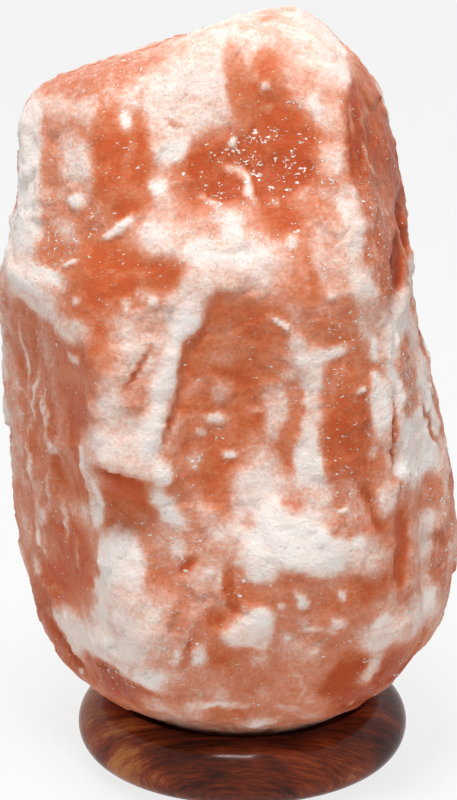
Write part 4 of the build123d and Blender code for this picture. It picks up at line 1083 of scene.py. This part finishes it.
@dataclass
class SaltCrystal:
    """The hewn lump: the CAD solid's skin with its facets worn, then frosted, chipped and cracked."""

    columns: int = 336
    body_rows: int = 152
    dome_rows: int = 106
    core_radius: float = 39.5
    dome_height: float = 221.0
    seat_gap: float = 0.12
    foot_crowding: float = 0.94
    dome_crowding: float = 0.02
    wear_cells: float = 2.4
    normal_cells: float = 1.6
    dressed_height: float = 11.0
    mark_relief: float = 0.75
    frost_relief: float = 0.9
    even_frost: float = 0.45
    swell: float = 0.5
    swell_size: float = 24.0
    grit: float = 0.08
    frosted_grit: float = 0.1
    grit_size: float = 2.4
    drilled_rows: int = 12
    hole_reach: float = 28.0
    hole_top: float = 200.0
    same_level: float = 0.2
    drill_marks: float = 0.012

    def core(self) -> Array:
        """A round-headed post inside the lump, that the lump is measured from.

        Level with the ground it is a tube; above dome_height it is half a ball. Rows run upwards.

        Returns:
            Rows by columns by 3, in mm.
        """
        foot = heights("salt_crystal")[0] + self.seat_gap
        level = foot + (self.dome_height - foot) * np.linspace(0, 1, self.body_rows) ** self.foot_crowding
        rise = np.linspace(0, np.pi / 2, self.dome_rows + 1, endpoint=False)[1:]
        rise = rise - self.dome_crowding * np.sin(2 * rise)
        radius = self.core_radius * np.concatenate([np.ones(self.body_rows), np.cos(rise)])
        height = np.concatenate([level, self.dome_height + self.core_radius * np.sin(rise)])
        return round_axis(radius, height, self.columns)

    def measured(self, core: Array) -> Array:
        """How far the CAD solid's skin is from the core, straight out of it.

        Args:
            core: The core's rows.

        Returns:
            Distances in mm, rows by columns.
        """
        mesh = new_mesh("core", core, tube_faces(*core.shape[:2]).tolist())
        probe = placed("core", mesh)
        wrap = probe.modifiers.new("skin", "SHRINKWRAP")
        wrap.target = frame["nodes"]["salt_crystal"]
        wrap.wrap_method = "PROJECT"
        wrap.use_positive_direction = True
        wrap.use_negative_direction = False
        bpy.context.view_layer.update()
        evaluated = probe.evaluated_get(bpy.context.evaluated_depsgraph_get())
        reached = read_corners(evaluated.data).reshape(core.shape) / MM
        bpy.data.objects.remove(probe)
        bpy.data.meshes.remove(mesh)
        return np.linalg.norm(reached - core, axis=-1)

    def above_foot(self, skin: Array, start: float) -> Array:
        """0 on the dressed foot of a skin, rising to 1 above it from a start in mm."""
        return smooth(start, self.dressed_height, skin[..., 2] - skin[0, 0, 2])

    def worn_skin(self) -> Array:
        """The CAD solid's skin with the edges of its facets worn away, apart from the dressed foot.

        Returns:
            Rows by columns by 3, in mm.
        """
        core = self.core()
        distance = self.measured(core)
        distance = distance + self.above_foot(core, 2.0) * (blurred(distance, self.wear_cells) - distance)
        away = core.copy()
        away[..., 2] = np.maximum(core[..., 2] - self.dome_height, 0.0)
        return core + distance[..., None] * unit(away)

    def bare(self, skin: Array, front: Array) -> dict[str, Array]:
        """The salt before any mark: hazy, and more even on the front, whose marks say the rest.

        Args:
            skin: Rows by columns by 3, in mm.
            front: How far each place faces the front, from 0 to 1.

        Returns:
            frost, red and sparkle from 0 to 1, and lift in mm.
        """
        haze = fractal(skin, 26.0, 4, 71)
        elsewhere = np.clip(0.42 + 0.55 * haze, 0.05, 0.95)
        return {
            "frost": elsewhere * (1 - front) + front * np.clip(0.4 + 0.3 * haze, 0.1, 0.8),
            "red": np.clip(0.12 + 0.5 * fractal(skin, 40.0, 2, 83), 0.0, 0.6) * (1 - 0.7 * front),
            "sparkle": np.clip(0.3 + 0.8 * fractal(skin, 30.0, 2, 97), 0.0, 1.0),
            "lift": np.zeros(skin.shape[:-1]),
        }

    def clouded(self, frost: Array, skin: Array, sway: Array, front: Array) -> Array:
        """Adds cloudy mottling and thin wisps, calmer where the frost is thick and stronger at the back.

        Args:
            frost: How frosted the salt is.
            skin: Rows by columns by 3, in mm.
            sway: A drift that bends them, in the same shape.
            front: How far each place faces the front, from 0 to 1.

        Returns:
            The frost with them, from 0 to 1.
        """
        wisps = smooth(0.84, 0.99, 1.0 - np.abs(cloud(skin + 5.0 * sway, 15.0, 211)))
        wisps = wisps * smooth(-0.1, 0.5, cloud(skin, 27.0, 223))
        mottle = 0.2 * fractal(skin + 2.0 * sway, 9.0, 3, 233) + 0.13 * fractal(skin, 21.0, 2, 241)
        mottle *= 1.0 + 0.9 * (1.0 - front) * smooth(-40.0, -5.0, skin[..., 1])
        calm = 1.0 - 0.6 * smooth(0.55, 0.85, frost)
        return np.clip(frost + calm * mottle + 0.28 * wisps * (1.0 - frost), 0.0, 1.0)

    def painted(self, skin: Array, normal: Array) -> dict[str, Array]:
        """Lays the marks over the skin, one after another, on edges that wander.

        Each mark moves the frost, the redness and the sparkle towards its own, as far as it covers a place
        and the place faces its side. Heights add up.

        Args:
            skin: Rows by columns by 3, in mm.
            normal: Its normals.

        Returns:
            frost, red and sparkle from 0 to 1, and lift in mm.
        """
        sway, fine = drift(skin, 15.0, 4, (11, 23, 37)), drift(skin, 4.0, 2, (41, 53, 67))
        front = smooth(0.05, 0.5, -normal[..., 1])
        layers = self.bare(skin, front)
        for side in SIDES:
            place = skin + side.wander[0] * sway + side.wander[1] * fine
            shown = smooth(*side.turned, normal @ np.array(side.outward))
            if side.fades:
                shown = shown * smooth(*side.fades, skin[..., 1])
            for mark in side.marks.values():
                along, across = mark.local(*(place[..., axis] for axis in side.axes))
                cover = mark.cover(along, across) * shown
                for key, target in (("frost", mark.tone.value), ("red", mark.red), ("sparkle", mark.sparkle)):
                    if target is not None:
                        layers[key] += (target - layers[key]) * cover * mark.strength
                layers["lift"] += mark.height(across) * cover
        layers["frost"] = self.clouded(layers["frost"], skin, sway, front)
        return layers

    def hewn_skin(self) -> tuple[Array, dict[str, Array]]:
        """The worn skin moved along its normals by its marks, hewn chips of three sizes and the frost's grit.

        Returns:
            The skin, and its layers.
        """
        skin = self.worn_skin()
        normal = unit(blurred(grid_normals(skin), self.normal_cells))
        layers = self.painted(skin, normal)
        frost = layers["frost"]
        height = self.mark_relief * layers["lift"] + self.frost_relief * (frost - self.even_frost)
        for chipping in CHIPPINGS:
            height += chipping.height(skin, frost)
        swell = self.swell * fractal(skin, self.swell_size, 3, 151)
        height += swell + (self.grit + self.frosted_grit * frost) * cloud(skin, self.grit_size, 171)
        return skin + (height * self.above_foot(skin, 1.5))[..., None] * normal, layers

    def drilled_skin(self) -> Array:
        """The hole for the bulb: from the middle of its end, down its cone and wall, to the seat.

        Returns:
            Rows by columns by 3, in mm, that run downwards.
        """
        corners = read_corners(frame["nodes"]["salt_crystal"].data).astype(float) / MM
        reach = np.hypot(corners[:, 0], corners[:, 1])
        inner = (reach < self.hole_reach) & (corners[:, 2] < self.hole_top)
        reach, level = reach[inner], corners[inner, 2]
        wide, low, high = reach.max(), level.min(), level.max()
        cone_foot = level[reach > wide - self.same_level].max()
        end = reach[level > high - self.same_level].max()
        radius = np.concatenate([[end * 0.5, end], np.linspace(wide, wide, self.drilled_rows)])
        height = np.concatenate([[high, high], np.linspace(cone_foot, low, self.drilled_rows)])
        rows = round_axis(radius, height, self.columns)
        rough = np.abs(cloud(rows, 3.0, 191))[..., None] * np.array([self.drill_marks, self.drill_marks, 0.0])
        rough[:2] = 0.0
        return rows * (1.0 + rough)

    def build(self, salt: bpy.types.Material) -> None:
        """Closes the hole and the hewn skin into one piece and dresses it.

        Args:
            salt: Its finish.
        """
        skin, layers = self.hewn_skin()
        skin[0, :, 2] = heights("salt_crystal")[0]
        drilled = self.drilled_skin()
        rows = np.concatenate([drilled, skin])
        summit, hole_end = rows[-1].mean(axis=0), (0.0, 0.0, drilled[0, 0, 2])
        points = np.concatenate([rows.reshape(-1, 3), [summit, hole_end]])
        # Fans of triangles close the top row and the hole's end.
        count = rows.shape[0] * rows.shape[1]
        ring = np.arange(self.columns)
        after, top = np.roll(ring, -1), count - self.columns
        faces = tube_faces(*rows.shape[:2]).tolist()
        faces += np.stack([ring + top, after + top, np.full_like(ring, count)], axis=-1).tolist()
        faces += np.stack([after, ring, np.full_like(ring, count + 1)], axis=-1).tolist()
        piece = new_piece("hewn_crystal", points, faces, "lamp_body", "salt_crystal", salt)
        for key, inside in (("frost", 0.5), ("red", 0.1), ("sparkle", 0.3)):
            hole = np.full(drilled.shape[:-1], inside)
            layer = np.concatenate([hole, layers[key]]).ravel()
            set_layer(piece.data, key, np.concatenate([layer, [layers[key][-1].mean(), inside]]))


@dataclass(frozen=True)
class SaltFinish:
    """Rock salt: clear deep orange where smooth, salmon to chalk white where crushed, veined, with painted
    glints.
    """

    deep: tuple = (0.56, 0.11, 0.036)
    orange: tuple = (0.61, 0.178, 0.076)
    salmon: tuple = (0.68, 0.27, 0.165)
    rose: tuple = (0.77, 0.46, 0.36)
    pale: tuple = (0.86, 0.69, 0.615)
    chalk: tuple = (0.895, 0.82, 0.775)
    # brown_red: the salt's own deep red, and painted shade in grooves, cracks and under overhangs
    brown_red: tuple = (0.36, 0.052, 0.014)
    # glint: the colour of the painted glints
    glint: tuple = (0.96, 0.87, 0.82)
    relief: float = 0.0009

    def glints(self, n: Nodes, place: Socket, sparkle: Socket) -> Socket:
        """Painted glints: broken bright rims of small bubbles, and finer flecks, thick where the salt
        sparkles.

        Args:
            n: The nodes to add to.
            place: Where they are read.
            sparkle: How much the salt sparkles.

        Returns:
            0 to 1, bright.
        """
        odds = n.times(sparkle, n.fit(n.noise(place, 170.0, 3.0, 0.65), 0.38, 0.62))
        cell = n.stretched(place, (330.0, 330.0, 460.0))
        bubbles = n.add("ShaderNodeTexVoronoi", Vector=cell, Scale=1.0).outputs
        chance = n.add("ShaderNodeSeparateColor", Color=bubbles["Color"]).outputs[0]
        rim = n.times(n.fit(bubbles["Distance"], 0.16, 0.26), n.fit(bubbles["Distance"], 0.5, 0.4))
        rim = n.times(rim, n.fit(n.noise(place, 420.0, 2.0, 0.6), 0.51, 0.56))
        rim = n.times(rim, n.math("LESS_THAN", chance, n.times(odds, odds, 0.3)))
        flecks = n.noise(place, (480.0, 480.0, 850.0), 2.5, 0.62, 0.5, turn=(0.0, 0.3, 0.0))
        return n.math("MAXIMUM", rim, n.fit(n.plus(flecks, n.times(odds, 0.14)), 0.675, 0.72))

    def mottling(self) -> bpy.types.NodeTree:
        """The colours of the salt with its painted glints and painted shade, its gloss and its fine relief,
        from how frosted and red it is.

        Returns:
            The node group.
        """
        tree, n, start, end = new_group(
            "salt_mottling", "Color", "Gloss", "Height", Frost=0.4, Red=0.0, Sparkle=0.3
        )
        place, frost, red = start["Place"], start["Frost"], start["Red"]
        broad = n.noise(place, 150.0, 4.0, 0.6, 0.6)
        grit = n.noise(place, 620.0, 3.0, 0.65)
        fibres = n.noise(place, (520.0, 520.0, 60.0), 4.0, 0.62, 0.5, turn=(0.0, 0.12, 0.0))
        # Frost broken up by the noise, most where it is neither clear nor chalky.
        middle = n.times(frost, n.minus(1.0, frost), 4.0)
        ragged = n.plus(n.times(n.minus(broad, 0.5), 0.9), n.minus(grit, 0.5))
        ragged = n.times(ragged, n.plus(n.minus(0.5, n.times(frost, 0.27)), n.times(middle, 0.22)))
        veined = n.times(n.minus(fibres, 0.56), n.times(red, 1.5))
        level = n.math("ADD", n.plus(frost, ragged), veined, clamp=True)
        glint = self.glints(n, place, start["Sparkle"])
        tones = (self.deep, self.orange, self.salmon, self.rose, self.pale, self.chalk)
        tone = n.ramp(level, *zip((0.0, 0.2, 0.45, 0.66, 0.82, 1.0), tones))
        # Red darkens the tone towards brown-red: the salt's own red, and painted shade where grooves carry
        # it.
        dusk = n.math("MULTIPLY", red, n.minus(1.0, n.times(level, 0.75)), clamp=True)
        tone = n.mix(dusk, tone, self.brown_red)
        # Painted glints: bright specks mixed into the base colour.
        n.join(end["Color"], n.mix(n.times(glint, 0.85), tone, self.glint))
        n.join(end["Gloss"], n.minus(0.62, n.times(n.minus(1.0, level), 0.34)))
        rough = n.times(grit, n.plus(0.3, n.times(level, 0.3)))
        relief = n.plus(n.times(broad, 0.8), rough, n.times(glint, 0.5), n.times(fibres, red, 0.8))
        n.join(end["Height"], relief)
        return tree

    def build(self) -> bpy.types.Material:
        """The salt's material, that reads the layers stored on the lump.

        Returns:
            The material.
        """
        glow = {"Subsurface_Weight": 0.22, "Subsurface_Radius": (1.0, 0.42, 0.25), "Subsurface_Scale": 0.004}
        material, n, shader, place = new_material("rock_salt", IOR=1.54, Specular_IOR_Level=0.07, **glow)
        layers = {
            key: n.add("ShaderNodeAttribute", attribute_name=key.lower()).outputs["Fac"]
            for key in ("Frost", "Red", "Sparkle")
        }
        group = n.group(self.mottling(), Place=place, **layers)
        finished(n, shader, group["Color"], group["Gloss"], group["Height"], self.relief)
        return material


# ============================================================ wooden base
@dataclass(frozen=True)
class Rosewood:
    """Varnished rosewood: deep red-brown with fine dark lines, golden where the grain is cut across; painted
    light on the left, painted shade at the far right.
    """

    dark: tuple = (0.018, 0.005, 0.003)
    brown: tuple = (0.12, 0.019, 0.006)
    red: tuple = (0.25, 0.042, 0.011)
    gold: tuple = (0.46, 0.17, 0.045)
    tilt: float = 50.0
    bearing: float = -12.0
    relief: float = 0.00012

    def figure(self) -> bpy.types.NodeTree:
        """The wood's figure: layers that lie across the board, bent by slow noise, with pores along them; its
        colour also carries painted light on the left and painted shade at the far right.

        Returns:
            The node group.
        """
        tree, n, start, end = new_group("rosewood_figure_light_and_shade", "Color", "Gloss", "Height")
        # The board's long way is off the X axis, and its layers are tilted.
        turn = (math.radians(self.tilt), 0.0, math.radians(self.bearing))
        board = n.stretched(start["Place"], turn=turn)
        slow = n.noise(board, (8.0, 16.0, 16.0), 2.0, 0.5)
        bent = n.add("ShaderNodeSeparateXYZ", Vector=board).outputs
        depth = n.plus(bent["Z"], n.times(slow, 0.012))
        along = n.add("ShaderNodeCombineXYZ", X=bent["X"], Y=bent["Y"], Z=depth).outputs[0]
        layers = n.noise(along, (24.0, 24.0, 170.0), 4.0, 0.6, 0.6)
        lines = n.noise(along, (90.0, 160.0, 1300.0), 3.0, 0.75, 0.2, turn=(0.0, 0.06, 0.35))
        pores = n.fit(n.noise(along, (130.0, 1500.0, 2300.0), 2.0, 0.5), 0.6, 0.72)
        patch = n.noise(board, (22.0, 26.0, 26.0), 2.0, 0.5)
        # Golden on the left, partly the wood's own tone and partly painted light; redder on the right;
        # painted shade darkens the far right.
        across = n.add("ShaderNodeSeparateXYZ", Vector=start["Place"]).outputs["X"]
        left, right, far = (n.fit(across, *span) for span in ((-0.022, -0.05), (0.012, 0.04), (0.05, 0.066)))
        tone = n.plus(n.times(layers, 0.55), n.times(lines, 0.46), n.times(n.minus(patch, 0.5), 0.35))
        tone = n.minus(n.plus(tone, n.times(left, 0.17), n.times(right, 0.09)), n.times(far, 0.16))
        stops = zip((0.0, 0.36, 0.68, 1.0), (self.dark, self.brown, self.red, self.gold))
        n.join(end["Color"], n.mix(n.times(pores, 0.55), n.ramp(n.fit(tone, 0.3, 0.82), *stops), self.dark))
        n.join(end["Gloss"], n.plus(0.2, n.times(pores, 0.2)))
        n.join(end["Height"], n.minus(n.times(lines, 0.5), pores))
        return tree

    def build(self) -> bpy.types.Material:
        """The varnished wood's material.

        Returns:
            The material.
        """
        varnish = {"Coat_Roughness": 0.12, "Coat_IOR": 1.36}
        material, n, shader, place = new_material("rosewood", IOR=1.46, Specular_IOR_Level=0.05, **varnish)
        # The varnish mirrors less where it turns away, as in the photograph, whose sides were dark.
        turned = n.add("ShaderNodeLayerWeight", Blend=0.5).outputs["Facing"]
        n.join(shader.inputs["Coat Weight"], n.times(n.fit(turned, 0.75, 0.3), 0.34))
        group = n.group(self.figure(), Place=place)
        finished(n, shader, group["Color"], group["Gloss"], group["Height"], self.relief)
        return material


# ============================================================ small finishes
@dataclass(frozen=True)
class Finish:
    """A plain finish, broken up by wear, and by a second tone in patches of patch metres."""

    slot: str
    color: tuple
    second: tuple
    roughness: float
    metallic: float = 0.0
    patch: float = 0.004
    wear: float = 0.5
    relief: float = 0.00003
    settings: dict = field(default_factory=dict)

    worn_roughness: ClassVar[float] = 0.22

    def build(self, wear: bpy.types.NodeTree) -> bpy.types.Material:
        """Makes the finish.

        Args:
            wear: The node group of scratches and dull patches.

        Returns:
            The material.
        """
        material, n, shader, place = new_material(self.slot, Metallic=self.metallic, **self.settings)
        group = n.group(wear, Place=place, Size=self.patch, Amount=self.wear)
        tone = n.mix(group["Mask"], (*self.color, 1.0), self.second)
        gloss = n.plus(self.roughness, n.times(group["Mask"], self.worn_roughness))
        finished(n, shader, tone, gloss, group["Height"], self.relief)
        return material


NAP = {"Sheen_Weight": 0.5, "Sheen_Roughness": 0.4}
MILKY = {"Subsurface_Weight": 0.15, "Subsurface_Scale": 0.002}
CLEAR = {"Transmission_Weight": 1.0, "IOR": 1.5}
CLOUDED = {"Transmission_Weight": 0.9, "IOR": 1.5}
FINISHES = (
    Finish("felt", (0.03, 0.028, 0.028), (0.075, 0.07, 0.068), 0.78, 0.0, 0.0006, 0.9, 0.0003, NAP),
    Finish("zinc_steel", (0.6, 0.6, 0.585), (0.42, 0.42, 0.4), 0.26, 1.0, 0.0022),
    Finish("nylon", (0.68, 0.66, 0.6), (0.55, 0.53, 0.47), 0.42, settings=MILKY),
    Finish("white_moulding", (0.7, 0.68, 0.63), (0.6, 0.57, 0.52), 0.3, patch=0.005, relief=0.00002),
    Finish("block_ceramic", (0.72, 0.69, 0.63), (0.6, 0.56, 0.5), 0.55, patch=0.0012, relief=0.00006),
    Finish("brass", (0.76, 0.55, 0.24), (0.42, 0.27, 0.11), 0.2, 1.0, 0.0025),
    Finish("spring_steel", (0.46, 0.46, 0.46), (0.3, 0.28, 0.27), 0.25, 1.0, 0.003),
    Finish("solder", (0.6, 0.6, 0.6), (0.4, 0.4, 0.41), 0.32, 1.0, 0.0012, relief=0.00015),
    Finish("black_glass", (0.012, 0.012, 0.016), (0.03, 0.028, 0.03), 0.09, patch=0.003),
    Finish("clear_glass", (0.97, 0.98, 0.98), (0.94, 0.95, 0.95), 0.0, 0.0, 0.004, 0.1, 0.000005, CLEAR),
    Finish("stem_glass", (0.93, 0.95, 0.94), (0.86, 0.88, 0.87), 0.06, wear=0.3, settings=CLOUDED),
    Finish("wire", (0.5, 0.5, 0.51), (0.35, 0.34, 0.34), 0.3, 1.0, 0.001),
    Finish("tungsten", (0.24, 0.24, 0.25), (0.14, 0.14, 0.15), 0.4, 1.0, 0.0005, relief=0.0001),
)


# ============================================================ screw threads
@dataclass
class ThreadedShell:
    """A drawn brass shell with a rolled thread, that stands for a CAD node.

    The profile runs up its outside and down its inside. Along the threaded part its radius is drawn in by
    depth * (1 - cos(2 pi * (height / pitch - bearing / 2 pi))) / 2, a right-handed helix, faded at both ends.
    """

    name: str
    node: str
    body: str
    profile: tuple
    threaded: tuple[float, float]
    pitch: float = 2.82
    depth: float = 0.5
    fade: float = 1.4
    columns: int = 96
    step: float = 0.25

    def rows(self) -> Array:
        """Points spread evenly along the profile, closed on itself.

        Returns:
            Radius and height of each, in mm.
        """
        corners = np.array([*self.profile, self.profile[0]], dtype=float)
        runs = np.linalg.norm(np.diff(corners, axis=0), axis=1)
        stops = np.concatenate([[0.0], np.cumsum(runs)])
        where = np.linspace(0.0, stops[-1], int(stops[-1] / self.step), endpoint=False)
        return np.stack([np.interp(where, stops, corners[:, k]) for k in range(2)], axis=-1)

    def build(self, finish: bpy.types.Material) -> None:
        """Turns the profile round the axis, draws in the thread and dresses the shell.

        Args:
            finish: Its material.
        """
        radius, height = self.rows().T
        low, high = self.threaded
        fade = smooth(low, low + self.fade, height) * (1.0 - smooth(high - self.fade, high, height))
        helix = 0.5 - 0.5 * np.cos(2 * np.pi * height[:, None] / self.pitch - bearings(self.columns))
        points = round_axis(radius[:, None] - self.depth * fade[:, None] * helix, height, self.columns)
        corner = np.arange(points.size // 3).reshape(points.shape[:2])
        above, after = np.roll(corner, -1, axis=0), np.roll(corner, -1, axis=1)
        faces = np.stack([corner, after, np.roll(above, -1, axis=1), above], axis=-1).reshape(-1, 4)
        new_piece(self.name, points, faces.tolist(), self.body, self.node, finish)


@dataclass
class BulbHolder:
    """The rolled threads of the bulb's cap and of its holder's shell, in mm as in the CAD."""

    cap_radius: float = 6.95
    cap_wall: float = 0.3
    flare: float = 1.45
    flare_foot: float = 3.0
    flare_top: float = 1.5
    gap: float = 0.4
    shell_wall: float = 0.4
    foot_bore: float = 4.2

    def build(self, brass: bpy.types.Material) -> None:
        """Makes both threaded shells between the heights of their CAD nodes.

        Args:
            brass: The finish of both.
        """
        low, high = heights("bulb_cap_shell")
        r, wall, wide = self.cap_radius, self.cap_wall, self.cap_radius + self.flare
        foot, bend = high - self.flare_foot, high - self.flare_top
        outside = ((r, low), (r, foot), (wide, bend), (wide, high))
        slim, wide_inside = r - wall, wide - wall
        inside = ((wide_inside, high), (wide_inside, bend + wall / 2), (slim, foot + wall / 2), (slim, low))
        threaded = (low + 0.6, high - 4.0)
        ThreadedShell("cap_thread", "bulb_cap_shell", "bulb", (*outside, *inside), threaded).build(brass)
        low, high = heights("screw_shell")
        inner, bore, floor = r + self.gap, self.foot_bore, low + self.shell_wall
        outer = inner + self.shell_wall
        profile = ((bore, low), (outer, low), (outer, high), (inner, high), (inner, floor), (bore, floor))
        threaded = (low + 2.0, high - 1.0)
        ThreadedShell("shell_thread", "screw_shell", "holder", profile, threaded).build(brass)


def dress_nodes(materials: dict[str, bpy.types.Material]) -> None:
    """Gives every CAD node the finish of its material slot.

    Args:
        materials: The finishes by slot.
    """
    slots = {part["node"]: part["material_slot"] for part in frame["record"]["subparts"]}
    for name, node in frame["nodes"].items():
        material = materials[slots[name]]
        if not node.material_slots:
            node.data.materials.append(material)
        for place in node.material_slots:
            place.material = material
        log.info("%s: %s", name, slots[name])


# ============================================================ camera, floor and lights
@dataclass(frozen=True)
class Studio:
    """The photograph's view, a pale floor and soft light from high in front of the lamp."""

    elevation: float = 16.0
    distance: float = 1.2
    target: tuple = (-0.0059, 0.0, 0.165)
    sensor: float = 36.0
    focal_pixels: float = 2899.0
    picture_height: float = 800.0
    raised_pixels: float = 17.5
    clip: tuple[float, float] = (0.05, 20.0)
    key_target: tuple = (0.0, 0.0, 0.17)
    key_bearing: float = -100.0
    key_elevation: float = 70.0
    key_distance: float = 1.5
    key_size: float = 0.5
    key_watts: float = 19.8
    fill: float = 0.53
    floor_reach: float = 6.0
    floor_grey: float = 0.74
    floor_white: float = 0.8

    def camera(self) -> None:
        """Sets up the camera, which looks along +Y and down."""
        data = bpy.data.cameras.new("camera")
        data.sensor_fit = "VERTICAL"
        data.sensor_height = self.sensor
        data.lens = self.focal_pixels * self.sensor / self.picture_height
        data.shift_y = -self.raised_pixels / self.picture_height
        data.clip_start, data.clip_end = self.clip
        camera = placed("camera", data)
        rise = math.radians(self.elevation)
        camera.location = Vector(self.target) + self.distance * Vector((0.0, -math.cos(rise), math.sin(rise)))
        camera.rotation_euler = (math.pi / 2 - rise, 0.0, 0.0)
        bpy.context.scene.camera = camera

    def key(self) -> None:
        """A square area lamp aimed at the middle of the crystal."""
        data = bpy.data.lights.new("key", "AREA")
        data.size, data.energy = self.key_size, self.key_watts
        lamp = placed("key", data)
        facing, rise = math.radians(self.key_bearing), math.radians(self.key_elevation)
        way = Vector((math.cos(facing) * math.cos(rise), math.sin(facing) * math.cos(rise), math.sin(rise)))
        lamp.location = Vector(self.key_target) + self.key_distance * way
        lamp.rotation_euler = way.to_track_quat("Z", "Y").to_euler()

    def seen(self, n: Nodes) -> tuple[Socket, Socket]:
        """1 for rays that show what they meet: the camera's own, and those a mirror or glass sends on.

        Args:
            n: The nodes to add to.

        Returns:
            That value, and the same for the camera's rays alone.
        """
        rays = n.add("ShaderNodeLightPath").outputs
        sent_on = n.math("MAXIMUM", rays["Is Glossy Ray"], rays["Is Transmission Ray"])
        return n.math("MAXIMUM", rays["Is Camera Ray"], sent_on), rays["Is Camera Ray"]

    def world(self) -> None:
        """Even fill, and white where the camera, a mirror or glass looks past the floor."""
        world = bpy.data.worlds.new("studio")
        world.use_nodes = True
        n = Nodes(world.node_tree)
        back = world.node_tree.nodes["Background"].inputs
        n.join(back["Color"], WHITE_LIGHT)
        n.join(back["Strength"], n.plus(n.times(self.seen(n)[0], 1.0 - self.fill), self.fill))
        bpy.context.scene.world = world

    def floor(self) -> None:
        """A wide pale floor that keeps a soft shadow, and that is clear from below."""
        reach = self.floor_reach / MM
        corners = reach * np.array([(-1.0, -1.0, 0.0), (1.0, -1.0, 0.0), (1.0, 1.0, 0.0), (-1.0, 1.0, 0.0)])
        mesh = new_mesh("floor", corners, [(0, 1, 2, 3)])
        grey = (self.floor_grey, self.floor_grey, self.floor_grey, 1.0)
        material, n, shader, _ = new_material("pale_floor", Base_Color=grey, Roughness=0.8)
        seen, by_camera = self.seen(n)
        white = n.add("ShaderNodeEmission", Color=WHITE_LIGHT, Strength=1.0).outputs[0]
        share = n.times(seen, self.floor_white)
        mixed = n.add("ShaderNodeMixShader", i0=share, i1=shader.outputs[0], i2=white).outputs[0]
        # Looked at from below, the floor is clear, so that the underside and the drawn holder can be seen.
        below = n.times(n.add("ShaderNodeNewGeometry").outputs["Backfacing"], by_camera)
        clear = n.add("ShaderNodeBsdfTransparent").outputs[0]
        surface = n.add("ShaderNodeMixShader", i0=below, i1=mixed, i2=clear).outputs[0]
        n.join(material.node_tree.nodes["Material Output"].inputs["Surface"], surface)
        mesh.materials.append(material)
        placed("floor", mesh)

    def build(self) -> None:
        """Sets up everything round the lamp."""
        self.camera()
        self.key()
        self.world()
        self.floor()
        bpy.context.scene.view_settings.view_transform = "Standard"


def main() -> None:
    """Builds the lamp, sub-assembly by sub-assembly, and the studio round it."""
    logging.basicConfig(level=logging.INFO, format="%(name)s: %(message)s")
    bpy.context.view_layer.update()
    Studio().build()
    wear = wear_group()
    materials = {finish.slot: finish.build(wear) for finish in FINISHES}
    materials |= {"rosewood": Rosewood().build(), "rock_salt": SaltFinish().build()}
    dress_nodes(materials)
    BulbHolder().build(materials["brass"])
    SaltCrystal().build(materials["rock_salt"])


if __name__ == "__main__":
    main()
